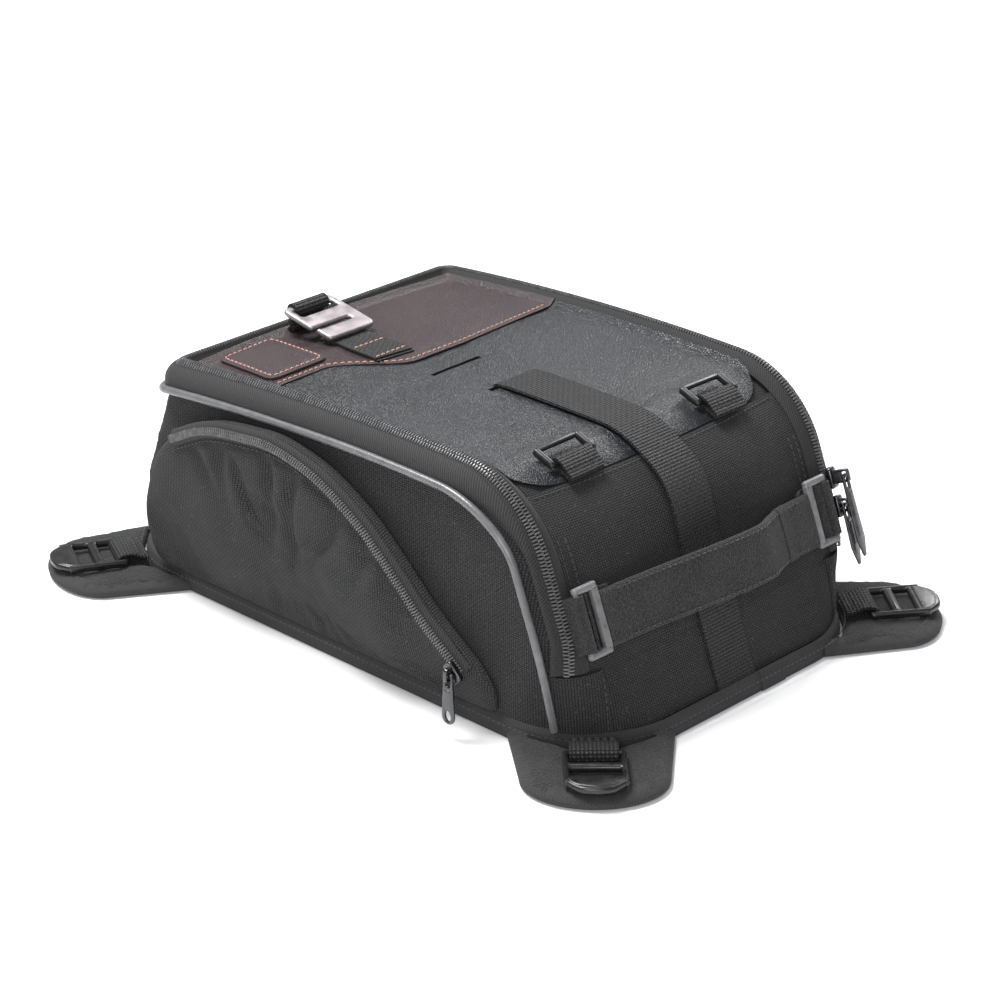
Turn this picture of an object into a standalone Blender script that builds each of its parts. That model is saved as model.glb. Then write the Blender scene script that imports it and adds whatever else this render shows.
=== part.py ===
"""Semi-rigid motorcycle tank bag: zipped clamshell lid, side pockets, straps, handle and corner flaps.

Metres, +Z up.  The bag's length lies along Y, with the grab handle at -Y.
"""
import math

import bmesh
import bpy
from mathutils import Matrix, Vector

MM = 0.001

# Driving dimensions of the bag body
HALF_WIDTH = 116 * MM
NEAR_Y = -190 * MM
FAR_Y = 191 * MM
NEAR_LEAN = 0.3926
FAR_LEAN = 0.39
TOP_PEAK_Z = 134 * MM
TOP_PEAK_Y = -55 * MM
TOP_CURVE = 0.27
SHOULDER_RADIUS = 58 * MM
SHOULDER_TANGENT_Y = -95 * MM
FAR_EDGE_RADIUS = 10 * MM
CORNER_RADIUS_BASE = 58 * MM
CORNER_RADIUS_TOP = 12 * MM
CORNER_FADE_START = 8 * MM
CORNER_FADE_HEIGHT = 60 * MM
FRONT_CROWN = 8 * MM
WALL = 4 * MM
WALL_FOOT_Z = 3.6 * MM
GAP = 0.3 * MM

# The bag body stands this far along Y from the datum, so that the datum is the middle of the whole part
BODY_SHIFT_Y = 11 * MM

# Lid and its zipper, as distances in from the side walls
LID_EDGE = 9.85 * MM
HINGE_Z = 43 * MM
COIL_RADIUS = 1.5 * MM
BODY_COIL_INSET = 8.2 * MM
LID_COIL_INSET = 11.5 * MM
RIDGE_LIFT = 6 * MM
RIDGE_LIFT_FRONT = 4.5 * MM
FAR_TIGHTEN = 3.5 * MM
TRIM_FAR_INSET = 13.3 * MM
LID_FAR_EDGE = 6.35 * MM
TAPE = 1.0 * MM

# Webbing and trim
TRIM_X = -3 * MM
MAIN_STRAP_WIDTH = 30 * MM
LOOP_WEBBING_WIDTH = 25 * MM
WEBBING = 1.6 * MM
HANDLE_WIDTH = 30 * MM

parts = bpy.data.collections.new("tank_bag")
cutters = bpy.data.collections.new("tank_bag_cutters")


def clear_scene():
    for obj in list(bpy.data.objects):
        bpy.data.objects.remove(obj, do_unlink=True)
    bpy.context.scene.collection.children.link(parts)
    bpy.context.scene.collection.children.link(cutters)


def finish_material(name, colour, roughness, metallic=0.0):
    material = bpy.data.materials.new(name)
    material.use_nodes = True
    shader = material.node_tree.nodes["Principled BSDF"]
    shader.inputs["Base Color"].default_value = (*colour, 1.0)
    shader.inputs["Roughness"].default_value = roughness
    shader.inputs["Metallic"].default_value = metallic
    return material


clear_scene()

FABRIC = ((0.030, 0.031, 0.033), 0.85)
TAPE_FINISH = ((0.035, 0.036, 0.038), 0.80)
COIL_FINISH = ((0.012, 0.012, 0.013), 0.35)
WEB_FINISH = ((0.022, 0.022, 0.024), 0.80)
PLASTIC = ((0.010, 0.010, 0.011), 0.35)
LEATHER = ((0.035, 0.038, 0.042), 0.45)
BROWN = ((0.045, 0.024, 0.022), 0.50)
FUZZ = ((0.050, 0.050, 0.053), 0.95)
BOARD = ((0.020, 0.020, 0.020), 0.60)
PIPE = ((0.30, 0.30, 0.31), 0.35)
STEEL = ((0.42, 0.41, 0.41), 0.40, 0.9)
RING_GREY = ((0.16, 0.16, 0.165), 0.35)


# ---------------------------------------------------------------- body form

def top_height(y):
    return TOP_PEAK_Z - TOP_CURVE * (y - TOP_PEAK_Y) ** 2


def top_slope(y):
    return -2 * TOP_CURVE * (y - TOP_PEAK_Y)


def shoulder_arc():
    """Tangent point, centre and angles of the arc that rounds the front wall into the top."""
    slope = top_slope(SHOULDER_TANGENT_Y)
    height = top_height(SHOULDER_TANGENT_Y)
    meet_z = (height + slope * (NEAR_Y - SHOULDER_TANGENT_Y)) / (1 - slope * NEAR_LEAN)
    meet_y = NEAR_Y + NEAR_LEAN * meet_z
    wall_angle = math.atan2(1, NEAR_LEAN)
    top_angle = math.atan(slope)
    tangent = SHOULDER_RADIUS * math.tan((wall_angle - top_angle) / 2)
    start = Vector((meet_y - math.cos(wall_angle) * tangent, meet_z - math.sin(wall_angle) * tangent))
    centre = start + SHOULDER_RADIUS * Vector((math.sin(wall_angle), -math.cos(wall_angle)))
    return start, centre, wall_angle, top_angle


ARC_START, ARC_CENTRE, WALL_ANGLE, TOP_ANGLE = shoulder_arc()
FRONT_LENGTH = math.hypot(ARC_START[0] - NEAR_Y, ARC_START[1])
ARC_LENGTH = SHOULDER_RADIUS * (WALL_ANGLE - TOP_ANGLE)
TOP_START = FRONT_LENGTH + ARC_LENGTH
TOP_START_Y = ARC_CENTRE[0] + SHOULDER_RADIUS * math.cos(TOP_ANGLE + math.pi / 2)


def far_wall_y(z):
    return FAR_Y - FAR_LEAN * z


FAR_TOP_Y = far_wall_y(top_height(137 * MM))


def over(u):
    """Point and outward normal in the YZ plane, a distance u up the front wall and over the top."""
    if u < FRONT_LENGTH:
        point = Vector((NEAR_Y + math.cos(WALL_ANGLE) * u, math.sin(WALL_ANGLE) * u))
        return point, Vector((-math.sin(WALL_ANGLE), math.cos(WALL_ANGLE)))
    if u < TOP_START:
        angle = WALL_ANGLE - (u - FRONT_LENGTH) / SHOULDER_RADIUS + math.pi / 2
        normal = Vector((math.cos(angle), math.sin(angle)))
        return ARC_CENTRE + SHOULDER_RADIUS * normal, normal
    y = TOP_START_Y + (u - TOP_START)
    normal = Vector((-top_slope(y), 1.0)).normalized()
    return Vector((y, top_height(y))), normal


def front_u(z):
    """Distance up the front wall at height z, below the shoulder."""
    return z / math.sin(WALL_ANGLE)


def top_u(y):
    """Distance over the body at length y of the top."""
    return TOP_START + (y - TOP_START_Y)


def fade(z):
    return min(1.0, max(0.0, (z - CORNER_FADE_START) / (CORNER_FADE_HEIGHT - CORNER_FADE_START)))


def corner_radius(z):
    return CORNER_RADIUS_BASE + (CORNER_RADIUS_TOP - CORNER_RADIUS_BASE) * fade(z)


def pull_back(x, z, inset=0.0):
    """How far the rounded corners and the crowned ends draw the end walls in at x."""
    radius = corner_radius(z) - inset
    reach = min(radius, max(0.0, abs(x) - (HALF_WIDTH - inset - radius)))
    return radius - math.sqrt(max(0.0, radius ** 2 - reach ** 2)) + FRONT_CROWN * fade(z) * (x / HALF_WIDTH) ** 2


def end_weight(y):
    """1 at the near end of the top, -1 at the far end: which way pull_back acts."""
    along = (y - TOP_START_Y) / (FAR_TOP_Y - TOP_START_Y)
    return 1 - 2 * min(1.0, max(0.0, along))


def skin(x, u):
    """Point on the front and top surface of the body."""
    (y, z), _ = over(u)
    weight = 1.0 if u < TOP_START else end_weight(y)
    return Vector((x, y + pull_back(x, z) * weight, z))


def skin_normal(x, u):
    step = 0.2 * MM
    across = skin(x + step, u) - skin(x - step, u)
    along = skin(x, u + step) - skin(x, u - step)
    return across.cross(along).normalized()


def lifted(x, u, lift):
    return skin(x, u) + skin_normal(x, u) * lift


# ---------------------------------------------------------------- builders

def register(obj, finish, collection=parts):
    collection.objects.link(obj)
    if finish is not None:
        obj.data.materials.append(finish_material(obj.name, *finish))
    return obj


def mesh_object(name, mesh, finish, smooth=True, collection=parts):
    bm = bmesh.new()
    bm.from_mesh(mesh)
    bmesh.ops.recalc_face_normals(bm, faces=bm.faces)
    bm.to_mesh(mesh)
    bm.free()
    if smooth:
        mesh.shade_smooth()
        mesh.set_sharp_from_angle(angle=math.radians(40))
    return register(bpy.data.objects.new(name, mesh), finish, collection)


def grid_sheet(name, rows, finish, thickness, offset=0.0, closed_ring=False):
    """Open surface through rows of points, made solid with Solidify."""
    bm = bmesh.new()
    vertex_rows = [[bm.verts.new(point) for point in row] for row in rows]
    count = len(rows)
    for i in range(count if closed_ring else count - 1):
        first, second = vertex_rows[i], vertex_rows[(i + 1) % count]
        for j in range(len(first) - 1):
            bm.faces.new((first[j], first[j + 1], second[j + 1], second[j]))
    mesh = bpy.data.meshes.new(name)
    bm.to_mesh(mesh)
    bm.free()
    mesh.shade_smooth()
    obj = register(bpy.data.objects.new(name, mesh), finish)
    solid = obj.modifiers.new("thickness", "SOLIDIFY")
    solid.thickness = thickness
    solid.offset = offset
    solid.use_even_offset = False
    return obj


def tube(name, points, radius, finish, sides=2):
    """Round cord along a list of points, with closed ends."""
    curve = bpy.data.curves.new(name, "CURVE")
    curve.dimensions = "3D"
    curve.bevel_depth = radius
    curve.bevel_resolution = sides
    curve.use_fill_caps = True
    spline = curve.splines.new("POLY")
    spline.points.add(len(points) - 1)
    for target, point in zip(spline.points, points):
        target.co = (*point, 1.0)
    return register(bpy.data.objects.new(name, curve), finish)


def plate(name, outlines, thickness, finish, place=None, collection=parts):
    """Flat piece from closed outlines (the later ones are holes), centred on its own XY plane."""
    curve = bpy.data.curves.new(name, "CURVE")
    curve.dimensions = "2D"
    curve.fill_mode = "BOTH"
    curve.extrude = thickness / 2
    for outline in outlines:
        spline = curve.splines.new("POLY")
        spline.points.add(len(outline) - 1)
        spline.use_cyclic_u = True
        for target, (x, y) in zip(spline.points, outline):
            target.co = (x, y, 0.0, 1.0)
    drawn = bpy.data.objects.new(name + "_outline", curve)
    bpy.context.scene.collection.objects.link(drawn)
    graph = bpy.context.evaluated_depsgraph_get()
    mesh = bpy.data.meshes.new_from_object(drawn.evaluated_get(graph))
    bpy.data.objects.remove(drawn, do_unlink=True)
    bm = bmesh.new()
    bm.from_mesh(mesh)
    bmesh.ops.remove_doubles(bm, verts=bm.verts, dist=0.001 * MM)
    if place is not None:
        bmesh.ops.transform(bm, matrix=place, verts=bm.verts)
    bm.to_mesh(mesh)
    bm.free()
    mesh.name = name
    return mesh_object(name, mesh, finish, smooth=False, collection=collection)


def rounded_box(name, size, centre, finish, bevel=0.8 * MM, turn=None):
    """Box with rounded edges, its scale applied."""
    bm = bmesh.new()
    bmesh.ops.create_cube(bm, size=1.0)
    bmesh.ops.scale(bm, vec=size, verts=bm.verts)
    bmesh.ops.bevel(bm, geom=bm.edges[:], offset=bevel, segments=2, affect="EDGES", clamp_overlap=True)
    matrix = Matrix.Translation(centre) @ (turn.to_4x4() if turn is not None else Matrix.Identity(4))
    bmesh.ops.transform(bm, matrix=matrix, verts=bm.verts)
    mesh = bpy.data.meshes.new(name)
    bm.to_mesh(mesh)
    bm.free()
    return mesh_object(name, mesh, finish)


def set_origin(obj, point):
    """Puts an object's origin on its joint's axis without moving its shape."""
    obj.data.transform(Matrix.Translation(-Vector(point)))
    obj.location = point
    return obj


def cut(obj, cutter, operation="DIFFERENCE"):
    cutter.hide_render = True
    cutter.display_type = "WIRE"
    boolean = obj.modifiers.new(operation.lower(), "BOOLEAN")
    boolean.operation = operation
    boolean.solver = "EXACT"
    boolean.object = cutter


def arc(centre, radius, start_deg, end_deg, steps):
    """Points on an arc in the XY plane."""
    angles = [math.radians(start_deg + (end_deg - start_deg) * i / steps) for i in range(steps + 1)]
    return [(centre[0] + radius * math.cos(a), centre[1] + radius * math.sin(a)) for a in angles]


def rounded_rectangle(half_x, low_y, high_y, radius, steps=6):
    outline = []
    corners = ((half_x, high_y, 0), (-half_x, high_y, 90), (-half_x, low_y, 180), (half_x, low_y, 270))
    for x, y, start in corners:
        centre = (x - math.copysign(radius, x), y - radius if y == high_y else y + radius)
        outline += arc(centre, radius, start, start + 90, steps)
    return outline


def smooth_run(points, per_span):
    """Even spline through a few points."""
    padded = [points[0]] + list(points) + [points[-1]]
    out = []
    for i in range(1, len(padded) - 2):
        p0, p1, p2, p3 = (Vector(p) for p in padded[i - 1:i + 3])
        for k in range(per_span):
            t = k / per_span
            out.append(0.5 * (2 * p1 + (p2 - p0) * t + (2 * p0 - 5 * p1 + 4 * p2 - p3) * t ** 2
                              + (3 * p1 - p0 - 3 * p2 + p3) * t ** 3))
    out.append(Vector(points[-1]))
    return out


def strap(name, spine, width, width_axis, finish, thickness=WEBBING):
    """Flat webbing along a spine, its width along one axis."""
    half = Vector(width_axis).normalized() * width / 2
    return grid_sheet(name, [[Vector(p) - half, Vector(p) + half] for p in spine], finish, thickness)


# ---------------------------------------------------------------- body shell

def profile_loop(x, inset, foot_z):
    """Closed loop of the body's lengthwise section at x, drawn in by inset."""
    points = []
    front_heights = (15, 30, 45, 60, 78)
    bare = [over(front_u(h * MM)) for h in front_heights]
    bare += [over(FRONT_LENGTH + ARC_LENGTH * i / 6) for i in range(7)]
    far_angle = math.atan2(1, FAR_LEAN)
    edge_turn = math.atan(top_slope(FAR_TOP_Y)) + far_angle
    far_start_y = FAR_TOP_Y - FAR_EDGE_RADIUS * math.tan(edge_turn / 2)
    bare += [over(top_u(TOP_START_Y + (far_start_y - TOP_START_Y) * i / 8)) for i in range(1, 9)]
    turn_from = math.pi / 2 + math.atan(top_slope(far_start_y))
    turn_to = math.pi / 2 - far_angle
    (y0, z0), n0 = over(top_u(far_start_y))
    centre = Vector((y0, z0)) - n0 * FAR_EDGE_RADIUS
    for i in range(1, 5):
        angle = turn_from + (turn_to - turn_from) * i / 4
        normal = Vector((math.cos(angle), math.sin(angle)))
        bare.append((centre + FAR_EDGE_RADIUS * normal, normal))
    last = bare[-1][0]
    far_normal = Vector((math.sin(far_angle), math.cos(far_angle)))
    shift = last[0] - far_wall_y(last[1])
    for h in (80, 60, 40, 20):
        bare.append((Vector((far_wall_y(h * MM) + shift, h * MM)), far_normal))
    for point, normal in bare:
        moved = point - normal * inset
        weight = 1.0 if moved[0] < TOP_START_Y else end_weight(moved[0])
        points.append((moved[0] + pull_back(x, point[1], inset) * weight, moved[1]))
    near_foot = NEAR_Y + NEAR_LEAN * foot_z + inset / math.sin(WALL_ANGLE) + pull_back(x, foot_z, inset)
    far_foot = far_wall_y(foot_z) + shift - inset / math.sin(far_angle) - pull_back(x, foot_z, inset)
    return [(near_foot, foot_z)] + points + [(far_foot, foot_z)]


def body_form(name, inset, foot_z, collection, finish=None):
    """Closed solid of the bag's outer form, drawn in by inset, from foot_z up."""
    half = HALF_WIDTH - inset
    from_side = [0.0, 0.6, 1.8, 4.0, 7.0, 12.0, 19.0, 28.0, 40.0, 58.0]
    xs = [half - d * MM for d in from_side]
    xs += [half * 0.25]
    stations = [-x for x in xs] + [x for x in reversed(xs)]
    loops = [[Vector((x, y, z)) for y, z in profile_loop(x, inset, foot_z)] for x in stations]
    bm = bmesh.new()
    rings = [[bm.verts.new(p) for p in loop] for loop in loops]
    count = len(rings[0])
    for first, second in zip(rings, rings[1:]):
        for j in range(count):
            k = (j + 1) % count
            bm.faces.new((first[j], first[k], second[k], second[j]))
    bm.faces.new(rings[0])
    bm.faces.new(list(reversed(rings[-1])))
    mesh = bpy.data.meshes.new(name)
    bm.to_mesh(mesh)
    bm.free()
    return mesh_object(name, mesh, finish, collection=collection)


def lid_outline(clearance):
    """Plan outline of the lid, open past the near end."""
    half = HALF_WIDTH - LID_EDGE + clearance
    far = FAR_TOP_Y - LID_FAR_EDGE + clearance
    radius = 8 * MM
    beyond = NEAR_Y - 60 * MM
    outline = [(-half, beyond), (half, beyond)]
    outline += arc((half - radius, far - radius), radius, 0, 90, 5)
    outline += arc((-half + radius, far - radius), radius, 90, 180, 5)
    return outline


def lid_block(name, clearance, foot_z):
    roof = 220 * MM
    middle = Matrix.Translation((0, 0, (foot_z + roof) / 2))
    return plate(name, [lid_outline(clearance)], roof - foot_z, None, middle, cutters)


def build_shells():
    cavity_for_walls = body_form("cavity_for_walls", WALL, -8 * MM, cutters)
    cavity_for_lid = body_form("cavity_for_lid", WALL, -8 * MM, cutters)
    walls = body_form("wall_shell", 0.0, WALL_FOOT_Z, parts, FABRIC)
    cut(walls, cavity_for_walls)
    cut(walls, lid_block("lid_opening", GAP, HINGE_Z - 0.6 * MM))
    lid = body_form("lid_shell", 0.0, WALL_FOOT_Z, parts, FABRIC)
    cut(lid, cavity_for_lid)
    cut(lid, lid_block("lid_blank", -GAP, HINGE_Z), "INTERSECT")


def build_base():
    outline = rounded_rectangle(HALF_WIDTH, NEAR_Y, FAR_Y, CORNER_RADIUS_BASE, 8)
    thickness = 3.2 * MM
    plate("base_panel", [outline], thickness, FABRIC, Matrix.Translation((0, 0, thickness / 2)))
    inner = HALF_WIDTH - WALL - 3 * MM
    board = rounded_rectangle(inner, NEAR_Y + WALL + 6 * MM, FAR_Y - WALL - 6 * MM, 50 * MM, 8)
    plate("base_board", [board], 2 * MM, BOARD, Matrix.Translation((0, 0, thickness + GAP + 1 * MM)))
    grow = 2.6 * MM
    clear = 0.4 * MM
    outer = rounded_rectangle(HALF_WIDTH + grow, NEAR_Y - grow, FAR_Y + grow, CORNER_RADIUS_BASE + grow, 8)
    hole = rounded_rectangle(HALF_WIDTH + clear, NEAR_Y - clear, FAR_Y + clear, CORNER_RADIUS_BASE + clear, 8)
    plate("base_binding", [outer, hole], 8 * MM, TAPE_FINISH, Matrix.Translation((0, 0, 4 * MM)))


# ---------------------------------------------------------------- main zipper

def blend_along(u, top_value, front_value):
    """Value on the top, easing to another on the front wall across the shoulder."""
    t = min(1.0, max(0.0, (u - FRONT_LENGTH) / ARC_LENGTH))
    t = t * t * (3 - 2 * t)
    return front_value + (top_value - front_value) * t


def rim_path(inset, lift, far_inset, front_inset=None, front_lift=None, start_z=HINGE_Z + 1.5 * MM):
    """Line round the lid opening, an inset in from the walls and a lift above the surface."""
    front_inset = inset if front_inset is None else front_inset
    front_lift = lift if front_lift is None else front_lift
    radius = max(3 * MM, 18 * MM - inset)
    far = FAR_TOP_Y - far_inset
    corner_y = far - radius
    start_u = front_u(start_z)
    end_u = top_u(corner_y)
    us = [start_u + (FRONT_LENGTH - start_u) * i / 4 for i in range(4)]
    us += [FRONT_LENGTH + ARC_LENGTH * i / 9 for i in range(9)]
    us += [TOP_START + (end_u - TOP_START) * i / 9 for i in range(10)]
    side = []
    for u in us:
        x = HALF_WIDTH - blend_along(u, inset, front_inset)
        height = blend_along(u, lift, front_lift)
        (y, _), _ = over(u)
        point = lifted(x, u, height)
        if u > TOP_START:
            point = Vector((x, y + pull_back(x, 120 * MM) * max(0.0, end_weight(y)),
                            top_height(y) + height))
        side.append(point)
    half = HALF_WIDTH - inset
    corner = [Vector((x, y, top_height(y) + lift))
              for x, y in arc((half - radius, corner_y), radius, 0, 90, 6)][1:]
    right = side + corner
    left = [Vector((-p.x, p.y, p.z)) for p in reversed(right)]
    return right + left


def build_main_zipper():
    ridge, front_ridge = RIDGE_LIFT - 0.8 * MM, RIDGE_LIFT_FRONT - 1.3 * MM
    body_outer = rim_path(1.0 * MM, 0.9 * MM, 0.3 * MM, 4.3 * MM, 1.0 * MM)
    body_inner = rim_path(6.1 * MM, ridge, 2.6 * MM, 6.1 * MM, front_ridge)
    grid_sheet("zip_tape_body", list(zip(body_outer, body_inner)), TAPE_FINISH, TAPE)
    lid_inner = rim_path(13.8 * MM, ridge, 10.3 * MM, 13.8 * MM, front_ridge)
    lid_outer = rim_path(19.2 * MM, 1.0 * MM, 12.4 * MM)
    grid_sheet("zip_tape_lid", list(zip(lid_inner, lid_outer)), TAPE_FINISH, TAPE)
    for name, inset in (("zip_coil_body", BODY_COIL_INSET), ("zip_coil_lid", LID_COIL_INSET)):
        path = rim_path(inset, RIDGE_LIFT, inset - FAR_TIGHTEN, inset, RIDGE_LIFT_FRONT)
        tube(name, path, COIL_RADIUS, COIL_FINISH, 1)


def build_piping():
    """Round cord sewn into the side seam, below the zipper and down both front corners."""
    radius = 2.2 * MM
    out = radius + 0.5 * MM
    drop = 5.5 * MM
    corner_r = 16 * MM
    far = far_wall_y(118 * MM) + out
    corner_y = far - corner_r
    low_u = front_u(12 * MM)
    us = [low_u + (FRONT_LENGTH - low_u) * i / 7 for i in range(7)]
    us += [FRONT_LENGTH + ARC_LENGTH * i / 10 for i in range(10)]
    us += [TOP_START + (top_u(corner_y) - TOP_START) * i / 8 for i in range(9)]
    side = []
    for u in us:
        (y, z), normal = over(u)
        on_side = Vector((HALF_WIDTH + out, y - normal[0] * drop, z - normal[1] * drop))
        on_side.y += pull_back(HALF_WIDTH, z) * (1.0 if u < TOP_START else max(0.0, end_weight(y)))
        seam_inset = 0.15 * corner_radius(z)
        on_corner = lifted(HALF_WIDTH - seam_inset + 1.2 * MM, u, out + 0.5 * MM)
        t = min(1.0, max(0.0, (u - FRONT_LENGTH) / ARC_LENGTH))
        t = t * t * (3 - 2 * t)
        point = on_corner.lerp(on_side, t)
        point.x += math.sin(math.pi * t) * 1.2 * MM
        side.append(point)
    level = top_height(corner_y) - drop
    corner = [Vector((x, y, level - 0.12 * (y - corner_y)))
              for x, y in arc((HALF_WIDTH + out - corner_r, corner_y), corner_r, 0, 90, 7)][1:]
    right = side + corner
    left = [Vector((-p.x, p.y, p.z)) for p in reversed(right)]
    tube("piping", right + left, radius, PIPE, 1)


# ---------------------------------------------------------------- side pockets

POCKET_DEPTH = 14.5 * MM
POCKET_ZIP = [(112, 99), (84, 112), (52, 117.5), (26, 118.5), (-6, 111), (-35, 96), (-52, 83), (-67, 70),
              (-82, 56.5), (-98, 45), (-112, 35)]
POCKET_CENTRE = Vector((25 * MM, 50 * MM))


def pocket_curve(grow):
    """The pocket's zipper line in the YZ plane, moved out from the pocket's middle."""
    line = smooth_run([(y * MM, z * MM) for y, z in POCKET_ZIP], 3)
    out = []
    for i, point in enumerate(line):
        run = line[min(i + 1, len(line) - 1)] - line[max(i - 1, 0)]
        normal = Vector((-run[1], run[0])).normalized()
        if normal.dot(point - POCKET_CENTRE) < 0:
            normal = -normal
        out.append(point + normal * grow)
    return out


def pocket_outline():
    line = pocket_curve(3.5 * MM)
    tail = [(-123.5, 26), (-124, 18), (-123, 11)]
    floor = [(y, 10.3) for y in (-100, -70, -40, -10, 20, 50, 80, 110)]
    heel = [(130, 10.5), (134, 22), (133, 45), (131, 68), (125, 86)]
    rest = [Vector((y * MM, z * MM)) for y, z in tail + floor + heel]
    return line + rest


def build_pocket(side, sign):
    outline = pocket_outline()
    wall_x = HALF_WIDTH + 0.7 * MM
    layers = ((1.0, 0.0), (0.99, 7.5 * MM), (0.955, 11.0 * MM), (0.82, 12.6 * MM), (0.5, 13.2 * MM))
    rows = []
    for scale, height in layers:
        row = []
        for point in outline:
            flat = POCKET_CENTRE + (point - POCKET_CENTRE) * scale
            row.append(Vector((sign * (wall_x + height), flat[0], flat[1])))
        rows.append(row)
    name = f"side_pocket_{side}"
    bm = bmesh.new()
    rings = [[bm.verts.new(p) for p in row] for row in rows]
    middle = bm.verts.new((sign * (wall_x + 13.2 * MM), POCKET_CENTRE[0], POCKET_CENTRE[1]))
    count = len(outline)
    for first, second in zip(rings, rings[1:]):
        for j in range(count):
            k = (j + 1) % count
            bm.faces.new((first[j], first[k], second[k], second[j]))
    for j in range(count):
        bm.faces.new((rings[-1][j], rings[-1][(j + 1) % count], middle))
    bmesh.ops.recalc_face_normals(bm, faces=bm.faces)
    if sum(face.normal.x * face.calc_area() for face in bm.faces) * sign < 0:
        bmesh.ops.reverse_faces(bm, faces=bm.faces)
    mesh = bpy.data.meshes.new(name)
    bm.to_mesh(mesh)
    bm.free()
    mesh.shade_smooth()
    obj = register(bpy.data.objects.new(name, mesh), FABRIC)
    solid = obj.modifiers.new("thickness", "SOLIDIFY")
    solid.thickness = 2 * MM
    solid.offset = -1.0
    solid.use_even_offset = False


def pocket_zip_x(y):
    """How far the pocket's zipper stands out at length y, lower towards the slider."""
    t = min(1.0, max(0.0, (y + 120 * MM) / (40 * MM)))
    return HALF_WIDTH + (13.6 + 0.6 * t) * MM


def build_pocket_zipper(side, sign):
    inner = [Vector((sign * pocket_zip_x(p[0]), p[0], p[1])) for p in pocket_curve(-4.0 * MM)]
    outer = [Vector((sign * pocket_zip_x(p[0]), p[0], p[1])) for p in pocket_curve(4.0 * MM)]
    grid_sheet(f"pocket_tape_{side}", list(zip(inner, outer)), TAPE_FINISH, TAPE)
    lift = TAPE / 2 + GAP + 1.8 * MM
    middle = [Vector((sign * (pocket_zip_x(p[0]) + lift), p[0], p[1])) for p in pocket_curve(0.0)]
    tube(f"pocket_coil_{side}", middle, 1.8 * MM, COIL_FINISH, 1)


PULL_THICK = 2.0 * MM
CROWN_PIVOT = 3.4 * MM
CROWN_HALF = 1.2 * MM


def slider(name, frame, body_turn=0.0, crown=CROWN_PIVOT):
    """Slider body with a crown that the puller's end bar turns in; local +Z is away from the zipper."""
    turn = Matrix.Rotation(math.radians(body_turn), 3, "Z")
    body = rounded_box(name, (8.5 * MM, 12 * MM, 3.2 * MM), Vector((0, 0, 0)), PLASTIC, 0.8 * MM, turn)
    body.data.transform(frame)
    low, top, sill = -0.8 * MM, crown + 2.9 * MM, crown - 1.6 * MM
    arch = [(-3.8 * MM, low), (3.8 * MM, low), (3.8 * MM, top - 1.2 * MM), (2.6 * MM, top),
            (-2.6 * MM, top), (-3.8 * MM, top - 1.2 * MM)]
    window = [(-2.3 * MM, sill), (2.3 * MM, sill), (2.3 * MM, crown + 1.6 * MM), (-2.3 * MM, crown + 1.6 * MM)]
    upright = Matrix.Rotation(math.radians(90), 4, "Z") @ Matrix.Rotation(math.radians(90), 4, "X")
    bridge = plate(f"{name}_crown", [arch, window], 2 * CROWN_HALF, None, frame @ upright, cutters)
    cut(body, bridge, "UNION")


def pull_tab(name, frame, length, crown=CROWN_PIVOT, axis_turn=0.0):
    """Tapered puller lying along the frame's -Y, its end bar inside the slider's crown."""
    head, tip = 3.2 * MM, 4.4 * MM
    outline = [(-head, 1.2 * MM), (head, 1.2 * MM), (head + 0.3 * MM, -8 * MM), (tip, -length + 4 * MM)]
    outline += arc((0, -length + 4 * MM), tip, 0, -180, 6)[1:]
    outline += [(-head - 0.3 * MM, -8 * MM)]
    hole = [(-1.8 * MM, -1.2 * MM), (1.8 * MM, -1.2 * MM), (1.8 * MM, -6.6 * MM), (-1.8 * MM, -6.6 * MM)]
    pivot = frame @ Matrix.Translation((0, 0, crown))
    obj = plate(name, [outline, hole], PULL_THICK, PLASTIC, pivot)
    return set_origin(obj, pivot.translation)


def build_pocket_slider(side, sign):
    y, z = -110 * MM, 37 * MM
    x = pocket_zip_x(y) + TAPE / 2 + GAP + 3.6 * MM + GAP + 1.6 * MM
    across = Vector((0, -sign, 0))
    basis = Matrix((across, Vector((0, 0, 1)), Vector((-sign, 0, 0)) * -1)).transposed().to_4x4()
    frame = Matrix.Translation((sign * x, y, z)) @ basis
    slider(f"pocket_slider_{side}", frame, -42 * sign * -1)
    pull_tab(f"pocket_pull_{side}", frame, 28 * MM)


# ---------------------------------------------------------------- corner flaps and buckles

FLAP_LENGTH = 118 * MM
FLAP_START = 61.4 * MM
FLAP_HALF_BASE = 43 * MM
FLAP_HALF_TIP = 38 * MM
FLAP_THICK = 5 * MM
FLAP_ANGLES = {"near_left": 225, "near_right": -39, "far_left": 153, "far_right": 27}
BUCKLE_BAR = 77 * MM
BUCKLE_Z = 9.2 * MM


def corner_centre(name):
    x = HALF_WIDTH - CORNER_RADIUS_BASE
    y = NEAR_Y + CORNER_RADIUS_BASE if name.startswith("near") else FAR_Y - CORNER_RADIUS_BASE
    return Vector((-x if name.endswith("left") else x, y, 0.0))


def flap_frame(name):
    """Local +X runs out along the flap, from the centre of its base corner."""
    return Matrix.Translation(corner_centre(name)) @ Matrix.Rotation(math.radians(FLAP_ANGLES[name]), 4, "Z")


def flap_outline(name, shrink=0.0):
    """Root hollow that clears the base corner, straight sides and an oval tip."""
    half_base = FLAP_HALF_BASE - shrink
    half_tip = FLAP_HALF_TIP - shrink
    start = FLAP_START + shrink
    limit = math.degrees(math.asin(half_base / start))
    root = arc((0, 0), start, limit, -limit, 10)
    shoulder = 90 * MM
    reach = FLAP_LENGTH - shrink - shoulder
    tip = [(shoulder + reach * math.sin(math.radians(a)), -half_tip * math.cos(math.radians(a)))
           for a in range(0, 181, 15)]
    return root + tip


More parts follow.
